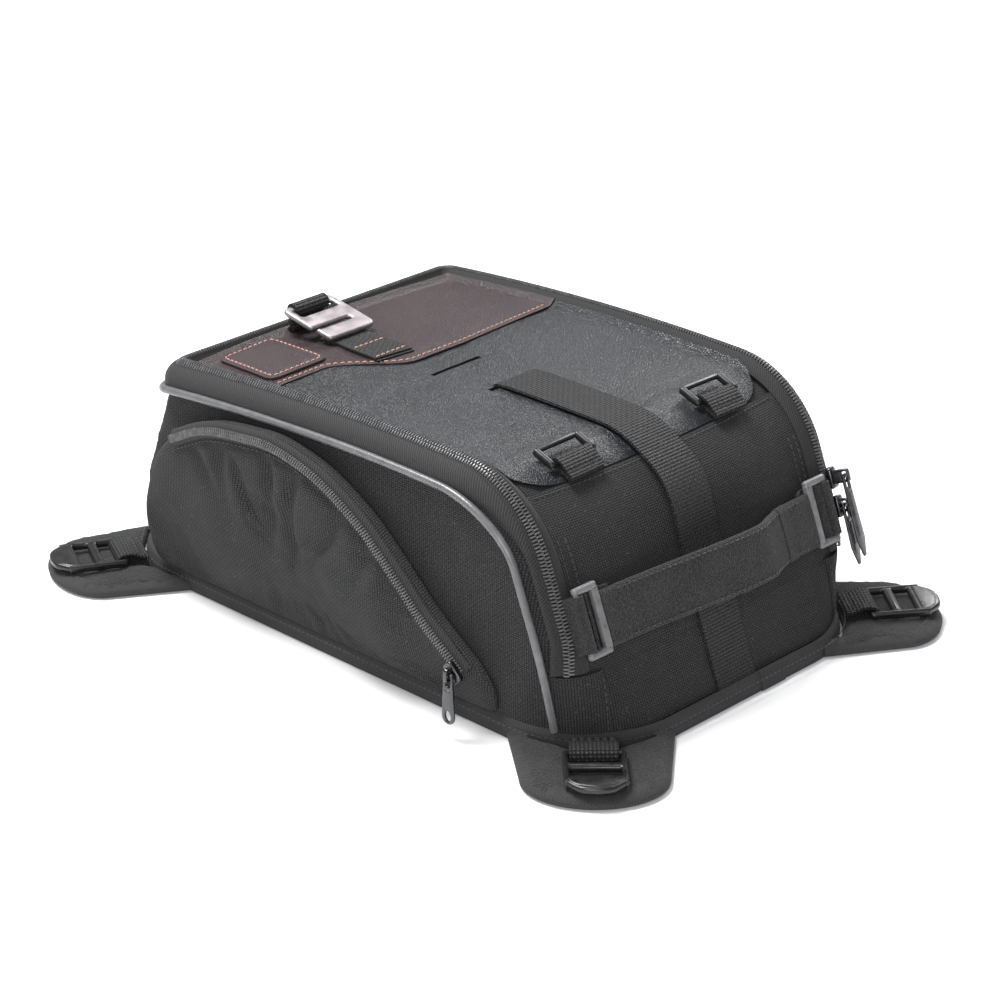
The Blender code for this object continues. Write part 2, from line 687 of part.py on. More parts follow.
def build_flap(name):
    frame = flap_frame(name)
    lift = Matrix.Translation((0, 0, FLAP_THICK / 2 + 0.2 * MM))
    inset = 3.4 * MM
    pad = plate(f"corner_flap_{name}", [flap_outline(name, inset)], FLAP_THICK, FUZZ, frame @ lift)
    rim = plate(f"flap_binding_{name}", [flap_outline(name), flap_outline(name, inset - GAP)],
                FLAP_THICK + 0.8 * MM, TAPE_FINISH, frame @ Matrix.Translation((0, 0, (FLAP_THICK + 0.8 * MM) / 2)))
    keep = rounded_rectangle(HALF_WIDTH + 3 * MM, NEAR_Y - 3 * MM, FAR_Y + 3 * MM, CORNER_RADIUS_BASE + 3 * MM, 8)
    for piece in (pad, rim):
        trim = plate(f"{piece.name}_trim", [keep], 40 * MM, None, None, cutters)
        cut(piece, trim)


def buckle_outline():
    half = 16.2 * MM
    inner = 13.7 * MM
    body = [(0, half - 1.5 * MM), (0, -half + 1.5 * MM), (1.5 * MM, -half), (33 * MM, -half)]
    body += [(36.5 * MM, -half + 3 * MM), (37 * MM, -6 * MM), (42 * MM, -3.5 * MM), (43.5 * MM, 0)]
    body += [(42 * MM, 3.5 * MM), (37 * MM, 6 * MM), (36.5 * MM, half - 3 * MM), (33 * MM, half), (1.5 * MM, half)]
    slots = []
    for low, high in ((3.2 * MM, 13.5 * MM), (18 * MM, 27.5 * MM)):
        slots.append([(low, inner), (low, -inner), (high, -inner), (high, inner)])
    return [body] + slots


def build_buckle(name):
    frame = flap_frame(name)
    bar = Vector((BUCKLE_BAR, 0, BUCKLE_Z))
    tilt = Matrix.Rotation(math.radians(-1.5), 4, "Y")
    place = frame @ Matrix.Translation(bar) @ tilt @ Matrix.Translation((-1.6 * MM, 0, 0))
    obj = plate(f"ladder_lock_{name}", buckle_outline(), 3.4 * MM, PLASTIC, place)
    set_origin(obj, frame @ bar)
    loop = 3.35 * MM
    low = BUCKLE_Z - loop
    spine = [(66.5 * MM, low), (71 * MM, low)]
    spine += [(bar.x + loop * math.cos(math.radians(a)), bar.z + loop * math.sin(math.radians(a)))
              for a in range(-90, 91, 20)]
    spine += [(72 * MM, bar.z + loop), (68 * MM, bar.z + 1.4 * MM), (66.5 * MM, bar.z - 0.6 * MM)]
    rows = []
    for x, z in spine:
        half = LOOP_WEBBING_WIDTH / 2
        rows.append([frame @ Vector((x, -half, z)), frame @ Vector((x, half, z))])
    grid_sheet(f"buckle_webbing_{name}", rows, WEB_FINISH, 1.3 * MM)


# ---------------------------------------------------------------- lid trim

LEATHER_HALF = 96 * MM
LEATHER_NEAR_U = 143 * MM
LEATHER_CORNER = 26 * MM
LEATHER_LIFT = 1.05 * MM
TRIM_STACK = LEATHER_LIFT + 0.7 * MM + GAP + 1.0 * MM + GAP


def leather_half(u):
    """Half width of the leather panel, rounded off at its near corners."""
    short = max(0.0, LEATHER_CORNER - (u - LEATHER_NEAR_U))
    return LEATHER_HALF - (LEATHER_CORNER - math.sqrt(max(0.0, LEATHER_CORNER ** 2 - short ** 2)))


def build_leather():
    far_u = top_u(FAR_TOP_Y - TRIM_FAR_INSET)
    near_steps = (0.0, 0.6, 2.2, 5.0, 9.5, 16.0, 26.0)
    us = [LEATHER_NEAR_U + s * MM for s in near_steps]
    first = us[-1]
    us += [first + (far_u - first) * i / 12 for i in range(1, 13)]
    rows = []
    for u in us:
        half = leather_half(u)
        rows.append([lifted(half * (-1 + 2 * j / 12), u, LEATHER_LIFT) for j in range(13)])
    grid_sheet("leather_top", rows, LEATHER, 1.4 * MM)


def yoke_edge(x):
    """Near edge of the brown yoke: a soft step across the lid."""
    t = min(1.0, max(0.0, (x + 60 * MM) / (42 * MM)))
    t = t * t * (3 - 2 * t)
    rise = min(1.0, max(0.0, (x - 20 * MM) / (76 * MM)))
    return (66 - 32 * t + 6 * rise) * MM


def build_yoke():
    lift = LEATHER_LIFT + 0.7 * MM + GAP + 0.5 * MM
    far_y = FAR_TOP_Y - TRIM_FAR_INSET - 0.4 * MM
    rows = []
    for j in range(17):
        x = (LEATHER_HALF - 0.5 * MM) * (-1 + 2 * j / 16)
        near = yoke_edge(x)
        rows.append([lifted(x, top_u(near + (far_y - near) * i / 8), lift) for i in range(9)])
    grid_sheet("brown_yoke", rows, BROWN, 1.0 * MM)


def build_patch():
    lift = LEATHER_LIFT + 0.7 * MM + GAP + 1.0 * MM + GAP + 0.7 * MM
    low_y, high_y = 73 * MM, 127.5 * MM
    rows = []
    for i in range(8):
        t = i / 7
        left, right = (-93 + 7 * t) * MM, (-48 + 6 * t) * MM
        u = top_u(low_y + (high_y - low_y) * t)
        rows.append([lifted(left + (right - left) * j / 4, u, lift) for j in range(5)])
    grid_sheet("side_patch", rows, BROWN, 1.2 * MM)


def strap_lift(u):
    """Height of the main strap's middle above the lid: slack over the shoulder."""
    bulge = math.exp(-((u - 122 * MM) / (26 * MM)) ** 2)
    edge = min(1.0, max(0.0, (u - 140 * MM) / (18 * MM)))
    return (1.6 + 1.9 * edge + 3.0 * bulge) * MM


def build_main_strap():
    width = Vector((1, 0, 0))
    upper = [front_u(44.5 * MM), front_u(60 * MM), front_u(76 * MM)]
    upper += [FRONT_LENGTH - 8 * MM + (TOP_START + 12 * MM - FRONT_LENGTH) * i / 12 for i in range(13)]
    upper += [top_u(y * MM) for y in (-70, -50, -27)]
    spine = [skin(TRIM_X, u) + skin_normal(0, u) * strap_lift(u) for u in upper]
    strap("main_strap", spine, MAIN_STRAP_WIDTH, width, WEB_FINISH)
    lower = [front_u(z * MM) for z in (9.5, 20, 31, 42)]
    tail = [skin(TRIM_X, u) + skin_normal(0, u) * strap_lift(u) for u in lower]
    strap("strap_tail", tail, MAIN_STRAP_WIDTH, width, WEB_FINISH)


def frame_at(x, u, lift):
    """Local frame on the lid: +X across, +Y up over the body, +Z outward."""
    normal = skin_normal(x, u)
    across = Vector((1, 0, 0))
    along = normal.cross(across).normalized()
    across = along.cross(normal).normalized()
    basis = Matrix((across, along, normal)).transposed().to_4x4()
    return Matrix.Translation(lifted(x, u, lift)) @ basis


D_TAB_X = 56.5 * MM
D_TAB_U = 153 * MM
D_BAR_LIFT = 5.4 * MM


def build_d_loop(side, sign):
    frame = frame_at(sign * D_TAB_X, D_TAB_U, 0.0)
    bar = Vector((0, 0, D_BAR_LIFT))
    loop = 2.35 * MM
    half = LOOP_WEBBING_WIDTH / 2
    spine = [(-9.5 * MM, bar.z - loop), (-3 * MM, bar.z - loop)]
    spine += [(loop * math.cos(math.radians(a)), bar.z + loop * math.sin(math.radians(a)))
              for a in range(-90, 91, 22)]
    spine += [(-3 * MM, bar.z + loop), (-7 * MM, bar.z + 0.9 * MM), (-9.5 * MM, bar.z - 0.7 * MM)]
    rows = [[frame @ Vector((-half, y, z)), frame @ Vector((half, y, z))] for y, z in spine]
    grid_sheet(f"d_tab_{side}", rows, WEB_FINISH, 1.2 * MM)
    thick = 2.4 * MM
    outer_x = half + 4.0 * MM
    inner_x = half + 0.9 * MM
    outer = [(-outer_x, -1.2 * MM), (outer_x, -1.2 * MM), (outer_x, 11.2 * MM), (outer_x - 2 * MM, 13.4 * MM),
             (-outer_x + 2 * MM, 13.4 * MM), (-outer_x, 11.2 * MM)]
    hole = [(-inner_x, 1.2 * MM), (inner_x, 1.2 * MM), (inner_x, 10.6 * MM), (-inner_x, 10.6 * MM)]
    obj = plate(f"d_loop_{side}", [outer, hole], thick, PLASTIC, frame @ Matrix.Translation(bar))
    set_origin(obj, frame @ bar)


HOOK_X = -16 * MM
HOOK_Y = 108.5 * MM
HOOK_LIFT = 12.5 * MM
HOOK_TILT = 10


def hook_frame():
    (y, z), _ = over(top_u(HOOK_Y))
    return Matrix.Translation((HOOK_X, y, z + HOOK_LIFT)) @ Matrix.Rotation(math.radians(HOOK_TILT), 4, "X")


def build_hook():
    """Flat G-shaped hook: a closed slot for its own strap and an open slot for the anchor loop."""
    half, low, high = 18.5 * MM, -21 * MM, 19 * MM
    slot = 14.2 * MM
    outer = [(-half, high - 3 * MM), (-half + 3 * MM, high), (half - 3 * MM, high), (half, high - 3 * MM)]
    outer = list(reversed(outer))
    body = outer + [(-half, -3 * MM), (-half + 3 * MM, -5.5 * MM), (slot, -5.5 * MM), (slot, -11 * MM)]
    body += [(slot - 1.5 * MM, -12.5 * MM), (-slot - 1 * MM, -12.5 * MM), (-slot - 1 * MM, -9.8 * MM)]
    body += [(-half + 1 * MM, -9.4 * MM), (-half, -10.6 * MM), (-half, low + 3 * MM), (-half + 3 * MM, low)]
    body += [(half - 3 * MM, low), (half, low + 3 * MM)]
    closed = [(-slot, 6 * MM), (slot, 6 * MM), (slot, 13.5 * MM), (-slot, 13.5 * MM)]
    obj = plate("g_hook", [body, closed], 3.0 * MM, STEEL, hook_frame())
    set_origin(obj, hook_frame().translation)


def build_hook_straps():
    frame = hook_frame()
    half = LOOP_WEBBING_WIDTH / 2
    width = Vector((1, 0, 0))
    bar = frame @ Vector((0, 16.2 * MM, 0))
    loop = 4.2 * MM
    seam_y = FAR_TOP_Y - TRIM_FAR_INSET - 2 * MM
    seat = top_height(seam_y) + TRIM_STACK + 0.65 * MM
    around = [Vector((HOOK_X, bar.y + loop * math.cos(math.radians(a)), bar.z + loop * math.sin(math.radians(a))))
              for a in range(-40, 211, 20)]
    root = [Vector((HOOK_X, seam_y, seat)), Vector((HOOK_X, seam_y, seat + 3 * MM))]
    strap("hook_strap", root + around, half * 2, width, WEB_FINISH, 1.3 * MM)


def build_hook_anchor():
    """Stitched loop of webbing that the hook's tongue passes through."""
    frame = hook_frame()
    tongue = frame @ Vector((0, -16.8 * MM, 0))
    surface = TRIM_STACK + 0.65 * MM

    def centre_x(y):
        return (-23 + 5.5 * (y / MM - 47) / 45) * MM

    flat = (47, 56, 65, 74)
    spine = [Vector((centre_x(y * MM), y * MM, top_height(y * MM) + surface)) for y in flat]
    rise = [(-8, -3.4), (-4, -3.4), (3.6, -2.3), (8.2, -1.6), (9.8, 1.0), (8.2, 3.7), (3.6, 3.5), (-4.5, 2.1)]
    spine += [Vector((centre_x(tongue.y), tongue.y + y * MM, tongue.z + z * MM)) for y, z in rise]
    spine += [Vector((centre_x(y * MM), y * MM, top_height(y * MM) + surface + 1.3 * MM + GAP))
              for y in reversed(flat)]
    strap("hook_anchor", spine, LOOP_WEBBING_WIDTH, Vector((1, 0, 0)), WEB_FINISH, 1.3 * MM)


# ---------------------------------------------------------------- grab handle

RING_PIVOT_X = 98.5 * MM
RING_WIDTH = 16 * MM
RING_U = front_u(67 * MM)
HANDLE_LIFT = 20 * MM


def ring_frame(sign):
    """Local frame at a ring's anchor bar: +X towards the middle of the handle, +Y up the front wall."""
    normal = Vector((0, -math.sin(WALL_ANGLE), math.cos(WALL_ANGLE)))
    along = Vector((0, math.cos(WALL_ANGLE), math.sin(WALL_ANGLE)))
    inward = Vector((-sign, 0, 0))
    side = along if sign < 0 else -along
    basis = Matrix((inward, side, normal)).transposed().to_4x4()
    pivot = lifted(sign * RING_PIVOT_X, RING_U, 0.0) + normal * 8.0 * MM
    return Matrix.Translation(pivot) @ basis


def build_handle_ring(side, sign):
    frame = ring_frame(sign)
    half_h, bar = 18.5 * MM, 3.0 * MM
    outer = [(-1.5 * MM, half_h - 2 * MM), (-1.5 * MM, -half_h + 2 * MM), (0.5 * MM, -half_h),
             (RING_WIDTH - 3.5 * MM, -half_h), (RING_WIDTH - 1.5 * MM, -half_h + 2 * MM),
             (RING_WIDTH - 1.5 * MM, half_h - 2 * MM), (RING_WIDTH - 3.5 * MM, half_h), (0.5 * MM, half_h)]
    inner_h = half_h - bar
    hole = [(1.5 * MM, inner_h), (1.5 * MM, -inner_h), (RING_WIDTH - 4.5 * MM, -inner_h),
            (RING_WIDTH - 4.5 * MM, inner_h)]
    obj = plate(f"handle_ring_{side}", [outer, hole], 3.0 * MM, RING_GREY, frame)
    set_origin(obj, frame.translation)


def build_handle_anchor(side, sign):
    """Webbing sewn at the zipper seam that loops round the ring's outer bar."""
    frame = ring_frame(sign)
    loop = 3.0 * MM
    half = HANDLE_WIDTH / 2
    spine = [(-2.4 * MM, -4.2 * MM), (-0.6 * MM, -3.6 * MM)]
    spine += [(loop * math.cos(math.radians(a)), loop * math.sin(math.radians(a))) for a in range(-60, 221, 20)]
    rows = [[frame @ Vector((x, -half, z)), frame @ Vector((x, half, z))] for x, z in spine]
    grid_sheet(f"handle_anchor_{side}", rows, WEB_FINISH, 1.2 * MM)


def build_handle():
    """Padded strap between the rings, with a flat loop round each ring's inner bar."""
    normal = Vector((0, -math.sin(WALL_ANGLE), math.cos(WALL_ANGLE)))
    along = Vector((0, math.cos(WALL_ANGLE), math.sin(WALL_ANGLE)))
    base = lifted(0.0, RING_U, 0.0)
    end_x = RING_PIVOT_X - 18.4 * MM
    end_lift = (ring_frame(1).translation - base).dot(normal)
    steps = 20
    spine = []
    for i in range(steps + 1):
        x = end_x * (-1 + 2 * i / steps)
        bow = max(0.0, 1 - (x / end_x) ** 2) ** 1.35
        spine.append(base + Vector((x, 0, 0)) + normal * (end_lift + (HANDLE_LIFT - end_lift) * bow))
    half = along * HANDLE_WIDTH / 2
    thick = 3.6 * MM
    grid_sheet("handle_strap", [[p - half, p + half] for p in spine], FUZZ, thick)
    for side, sign in (("left", -1), ("right", 1)):
        frame = ring_frame(sign)
        bar_x = RING_WIDTH - 3.0 * MM
        flat = 3.0 * MM
        loop = 3.1 * MM
        run = [(bar_x + 8.4 * MM, -loop), (bar_x + 4 * MM, -loop)]
        run += [(bar_x - flat + loop * math.cos(math.radians(a)), loop * math.sin(math.radians(a)))
                for a in range(-90, -271, -20)]
        run += [(bar_x + 4 * MM, loop), (bar_x + 8.4 * MM, loop)]
        rows = [[frame @ Vector((x, -HANDLE_WIDTH / 2, z)), frame @ Vector((x, HANDLE_WIDTH / 2, z))]
                for x, z in run]
        grid_sheet(f"handle_loop_{side}", rows, WEB_FINISH, 1.0 * MM)


# ---------------------------------------------------------------- main sliders

def build_main_slider(name, u, crown):
    x = HALF_WIDTH - (BODY_COIL_INSET + LID_COIL_INSET) / 2
    lift = RIDGE_LIFT_FRONT + COIL_RADIUS + GAP + 1.8 * MM
    frame = frame_at(x, u, lift)
    slider(f"main_slider_{name}", frame, 0.0, crown)
    pull_tab(f"main_pull_{name}", frame, 30 * MM, crown)


# ---------------------------------------------------------------- assembly

def build_all():
    build_base()
    build_shells()
    build_main_zipper()
    build_piping()
    for side, sign in (("left", -1), ("right", 1)):
        build_pocket(side, sign)
        build_pocket_zipper(side, sign)
        build_pocket_slider(side, sign)
        build_d_loop(side, sign)
        build_handle_ring(side, sign)
        build_handle_anchor(side, sign)
    for name in FLAP_ANGLES:
        build_flap(name)
        build_buckle(name)
    build_leather()
    build_yoke()
    build_patch()
    build_main_strap()
    build_hook()
    build_hook_straps()
    build_hook_anchor()
    build_handle()
    build_main_slider("upper", front_u(80 * MM), CROWN_PIVOT + PULL_THICK + 2.4 * MM)
    build_main_slider("lower", front_u(65 * MM), CROWN_PIVOT)


def place_on_datum():
    """Stands the body on the part's datum, the middle of its footprint."""
    datum = bpy.data.objects.new("tank_bag_datum", None)
    bpy.context.scene.collection.objects.link(datum)
    datum.location = (0.0, BODY_SHIFT_Y, 0.0)
    for obj in list(parts.objects) + list(cutters.objects):
        obj.parent = datum


build_all()
place_on_datum()
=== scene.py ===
"""Looks of the tank bag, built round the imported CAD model: fabric, webbing, zippers, leather, fittings."""
import math

import bmesh
import bpy
import numpy as np
from mathutils import Matrix, Vector, noise


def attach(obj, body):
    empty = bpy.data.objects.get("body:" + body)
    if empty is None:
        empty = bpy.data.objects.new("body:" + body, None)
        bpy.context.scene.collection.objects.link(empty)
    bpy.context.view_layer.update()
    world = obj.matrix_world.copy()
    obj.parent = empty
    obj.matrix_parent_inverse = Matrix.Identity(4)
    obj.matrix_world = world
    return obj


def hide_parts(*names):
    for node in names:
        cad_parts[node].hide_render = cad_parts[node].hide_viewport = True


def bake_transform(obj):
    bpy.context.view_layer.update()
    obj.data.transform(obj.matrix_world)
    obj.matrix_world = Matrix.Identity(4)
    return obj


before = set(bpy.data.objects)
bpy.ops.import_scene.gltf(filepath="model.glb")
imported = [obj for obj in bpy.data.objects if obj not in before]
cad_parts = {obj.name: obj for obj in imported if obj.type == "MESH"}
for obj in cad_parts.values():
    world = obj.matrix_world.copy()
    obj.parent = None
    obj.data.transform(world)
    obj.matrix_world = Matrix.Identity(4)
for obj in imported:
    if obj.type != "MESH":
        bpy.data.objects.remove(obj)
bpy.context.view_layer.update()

MM = 0.001
SHIFT = Vector((0.0, 0.011, 0.0))      # the bag's own middle, in the row frame
scene = bpy.context.scene

# ------------------------------------------------------------------ form of the bag, as in the CAD
HALF_W, NEAR_Y, FAR_Y = 0.116, -0.190, 0.191
NEAR_LEAN, FAR_LEAN = 0.3926, 0.39
PEAK_Z, PEAK_Y, CURVE = 0.134, -0.055, 0.27
SHOULDER_R, TANGENT_Y = 0.058, -0.095
R_BASE, R_TOP, FADE_0, FADE_1, CROWN = 0.058, 0.012, 0.008, 0.060, 0.008


def top_z(y):
    return PEAK_Z - CURVE * (y - PEAK_Y) ** 2


def top_slope(y):
    return -2 * CURVE * (y - PEAK_Y)


def shoulder():
    m, z = top_slope(TANGENT_Y), top_z(TANGENT_Y)
    z = (z + m * (NEAR_Y - TANGENT_Y)) / (1 - m * NEAR_LEAN)
    y = NEAR_Y + NEAR_LEAN * z
    a0, a1 = math.atan2(1, NEAR_LEAN), math.atan(m)
    t = SHOULDER_R * math.tan((a0 - a1) / 2)
    p = (y - math.cos(a0) * t, z - math.sin(a0) * t)
    return p, (p[0] + SHOULDER_R * math.sin(a0), p[1] - SHOULDER_R * math.cos(a0)), a0, a1


P0, C0, A0, A1 = shoulder()
L_NEAR = math.hypot(P0[0] - NEAR_Y, P0[1])
L_ARC = SHOULDER_R * (A0 - A1)
TOP_U = L_NEAR + L_ARC
TOP_Y0 = C0[0] + SHOULDER_R * math.cos(A1 + math.pi / 2)
FAR_TOP_Y = FAR_Y - FAR_LEAN * top_z(0.137)


def over(u):
    if u < L_NEAR:
        return NEAR_Y + math.cos(A0) * u, math.sin(A0) * u
    if u < TOP_U:
        a = A0 - (u - L_NEAR) / SHOULDER_R + math.pi / 2
        return C0[0] + SHOULDER_R * math.cos(a), C0[1] + SHOULDER_R * math.sin(a)
    y = TOP_Y0 + u - TOP_U
    return y, top_z(y)


def fade(z):
    return min(1.0, max(0.0, (z - FADE_0) / (FADE_1 - FADE_0)))


def corner_r(z):
    return R_BASE + (R_TOP - R_BASE) * fade(z)


def pull(x, z):
    r = corner_r(z)
    e = min(r, max(0.0, abs(x) - (HALF_W - r)))
    return r - math.sqrt(max(0.0, r * r - e * e)) + CROWN * fade(z) * (x / HALF_W) ** 2


def weight(y):
    return 1 - 2 * min(1.0, max(0.0, (y - TOP_Y0) / (FAR_TOP_Y - TOP_Y0)))


def skin(x, u):
    y, z = over(u)
    return Vector((x, y + pull(x, z) * (1.0 if u < TOP_U else weight(y)), z))


def normal_at(x, u):
    e = 0.0002
    return (skin(x + e, u) - skin(x - e, u)).cross(skin(x, u + e) - skin(x, u - e)).normalized()


def lifted(x, u, h):
    return skin(x, u) + normal_at(x, u) * h

OUT = Vector((0, -math.sin(A0), math.cos(A0)))      # square to the front panel, away from the bag
UP = Vector((0, math.cos(A0), math.sin(A0)))        # along the front panel, upwards


def near_u(z):
    return z / math.sin(A0)


def top_u(y):
    return TOP_U + y - TOP_Y0


def ease(t):
    t = min(1.0, max(0.0, t))
    return t * t * (3 - 2 * t)


def along_u(y, z):
    """Distance over the body of points near its front and top, for laying cloth patterns."""
    a = np.arctan2(z - C0[1], y - C0[0])
    near = (y - NEAR_Y) * math.cos(A0) + z * math.sin(A0)
    arc = L_NEAR + (A0 + math.pi / 2 - a) * SHOULDER_R
    top = TOP_U + y - TOP_Y0
    return np.where(a > A0 + math.pi / 2, near, np.where(a < A1 + math.pi / 2, top, arc))


# ------------------------------------------------------------------ materials

class Nodes:
    """A material's node tree, with short calls for the nodes used here."""

    def __init__(self, name, colour, rough, metallic=0.0, sheen=0.0, specular=0.5):
        self.material = bpy.data.materials.new(name)
        self.material.use_nodes = True
        self.tree = self.material.node_tree
        self.shader = self.tree.nodes["Principled BSDF"]
        self.put("Base Color", (*colour, 1.0))
        self.put("Roughness", rough)
        self.put("Metallic", metallic)
        self.put("Sheen Weight", sheen)
        self.put("Sheen Roughness", 0.5)
        self.put("Specular IOR Level", specular)
        self.uv = self.node("ShaderNodeUVMap").outputs["UV"]

    def node(self, kind, **settings):
        made = self.tree.nodes.new(kind)
        for key, value in settings.items():
            setattr(made, key, value)
        return made

    def put(self, socket, value):
        self.feed(self.shader.inputs[socket], value)

    def feed(self, socket, value):
        if isinstance(value, bpy.types.NodeSocket):
            self.tree.links.new(value, socket)
        elif value is not None:
            socket.default_value = value

    def math(self, operation, a, b=None, c=None, clamp=False):
        made = self.node("ShaderNodeMath", operation=operation, use_clamp=clamp)
        for socket, value in zip(made.inputs, (a, b, c)):
            self.feed(socket, value)
        return made.outputs[0]

    def axis(self, index):
        if not hasattr(self, "_split"):
            self._split = self.node("ShaderNodeSeparateXYZ")
            self.feed(self._split.inputs[0], self.uv)
        return self._split.outputs[index]

    def noise(self, scale, detail=2.0, rough=0.5):
        made = self.node("ShaderNodeTexNoise")
        self.feed(made.inputs["Vector"], self.object())
        made.inputs["Scale"].default_value = scale
        made.inputs["Detail"].default_value = detail
        made.inputs["Roughness"].default_value = rough
        return made.outputs["Fac"]

    def voronoi(self, scale, feature="F1"):
        made = self.node("ShaderNodeTexVoronoi", feature=feature)
        self.feed(made.inputs["Vector"], self.object())
        made.inputs["Scale"].default_value = scale
        return made.outputs["Distance"]

    def object(self):
        if not hasattr(self, "_object"):
            self._object = self.node("ShaderNodeTexCoord").outputs["Object"]
        return self._object

    def ramp(self, value, stops):
        made = self.node("ShaderNodeValToRGB")
        self.feed(made.inputs[0], value)
        ramp = made.color_ramp
        ramp.elements[0].position, ramp.elements[0].color = stops[0][0], (*stops[0][1], 1)
        ramp.elements[1].position, ramp.elements[1].color = stops[-1][0], (*stops[-1][1], 1)
        for position, colour in stops[1:-1]:
            ramp.elements.new(position).color = (*colour, 1)
        return made.outputs["Color"]

    def range(self, value, low, high, to_low, to_high):
        made = self.node("ShaderNodeMapRange")
        for socket, number in zip(made.inputs, (value, low, high, to_low, to_high)):
            self.feed(socket, number)
        return made.outputs["Result"]

    def bump(self, height, strength, distance):
        made = self.node("ShaderNodeBump")
        made.inputs["Strength"].default_value = strength
        made.inputs["Distance"].default_value = distance
        self.feed(made.inputs["Height"], height)
        self.put("Normal", made.outputs["Normal"])

    def sine(self, value, pitch):
        """0 to 1 wave along a length, one wave each pitch."""
        wave = self.math("SINE", self.math("MULTIPLY", value, 2 * math.pi / pitch))
        return self.math("MULTIPLY_ADD", wave, 0.5, 0.5)


def plus(n, *values):
    total = values[0]
    for value in values[1:]:
        total = n.math("ADD", total, value)
    return total


def weave_height(n, pitch_u, pitch_v):
    """Plain weave: threads over and under, as a height from 0 to 1."""
    u = n.math("MULTIPLY", n.axis(0), 1 / pitch_u)
    v = n.math("MULTIPLY", n.axis(1), 1 / pitch_v)
    fu, fv = n.math("FRACT", u), n.math("FRACT", v)
    cells = n.math("ADD", n.math("FLOOR", u), n.math("FLOOR", v))
    pick = n.math("MODULO", n.math("ABSOLUTE", cells), 2.0)
    su = n.math("SINE", n.math("MULTIPLY", fu, math.pi))
    sv = n.math("SINE", n.math("MULTIPLY", fv, math.pi))
    warp = n.math("MULTIPLY", su, n.math("MULTIPLY_ADD", sv, 0.5, 0.5))
    weft = n.math("MULTIPLY", sv, n.math("MULTIPLY_ADD", su, 0.5, 0.3))
    one = n.math("MULTIPLY", warp, pick)
    other = n.math("MULTIPLY", weft, n.math("SUBTRACT", 1.0, pick))
    return n.math("ADD", one, other)


def shade(n, height, dark, light, low=0.0, high=1.0):
    n.put("Base Color", n.ramp(height, [(low, dark), (high, light)]))


def grey(v, tint=(1.0, 1.0, 1.03)):
    return tuple(v * t for t in tint)


def fabric_material(name, base=0.0175, pitch=0.00150, strength=1.0):
    n = Nodes(name, grey(base), 0.84, sheen=0.03, specular=0.14)
    h = weave_height(n, pitch, pitch * 0.86)
    fuzz = n.noise(900, 3)
    blotch = n.noise(55, 3)
    specks = n.range(n.noise(760, 0), 0.735, 0.78, 0.0, 1.0)
    level = plus(n, n.math("MULTIPLY", h, 0.95), n.math("MULTIPLY", fuzz, 0.30),
                 n.math("MULTIPLY", blotch, 0.20), n.math("MULTIPLY", specks, 0.5))
    shade(n, n.math("MULTIPLY", level, 0.6, clamp=True), grey(base * 0.10), grey(base * 3.4), 0.12, 0.74)
    n.bump(plus(n, h, n.math("MULTIPLY", fuzz, 0.35)), strength, 0.0005)
    return n.material


def twill_material(name, base=0.025, pitch=0.0015):
    n = Nodes(name, grey(base), 0.76, sheen=0.04, specular=0.2)
    zig = n.math("PINGPONG", n.axis(1), 0.0024)
    diagonal = n.sine(n.math("ADD", n.axis(0), zig), pitch)
    fuzz = n.noise(1200, 2)
    level = n.math("ADD", n.math("MULTIPLY", diagonal, 0.6), n.math("MULTIPLY", fuzz, 0.5))
    shade(n, level, grey(base * 0.4), grey(base * 2.2), 0.1, 0.9)
    n.bump(level, 0.6, 0.0004)
    return n.material


def plain_twill_material(name, base=0.021, pitch=0.0016):
    n = Nodes(name, grey(base), 0.74, sheen=0.04, specular=0.2)
    slant = n.math("ADD", n.axis(0), n.math("MULTIPLY", n.axis(1), 1.1))
    diagonal = n.sine(slant, pitch)
    fuzz = n.noise(1300, 2)
    level = n.math("ADD", n.math("MULTIPLY", diagonal, 0.55), n.math("MULTIPLY", fuzz, 0.5))
    shade(n, level, grey(base * 0.4), grey(base * 2.2), 0.1, 0.9)
    n.bump(level, 0.55, 0.00035)
    return n.material


def webbing_material(name, base=0.012):
    """Webbing: small blocks in rows across and ribs along, with a tight edge."""
    n = Nodes(name, grey(base), 0.62, sheen=0.02, specular=0.34)
    h = weave_height(n, 0.00190, 0.00210)
    fuzz = n.noise(1500, 2)
    level = n.math("ADD", n.math("MULTIPLY", h, 0.75), n.math("MULTIPLY", fuzz, 0.3))
    shade(n, level, grey(base * 0.08), grey(base * 3.2), 0.12, 0.95)
    n.bump(h, 1.0, 0.0010)
    return n.material


def brushed_material(name, base=0.023):
    """Brushed loop cloth: a short curly nap."""
    n = Nodes(name, grey(base), 0.95, sheen=0.12, specular=0.1)
    curls = n.voronoi(1300)
    tufts = n.noise(700, 4, 0.65)
    patch = n.noise(60, 3)
    level = plus(n, n.math("MULTIPLY", curls, 0.55), n.math("MULTIPLY", tufts, 0.7),
                 n.math("MULTIPLY", patch, 0.25))
    shade(n, level, grey(base * 0.3), grey(base * 2.1), 0.35, 1.15)
    n.bump(plus(n, curls, tufts), 0.9, 0.0009)
    return n.material


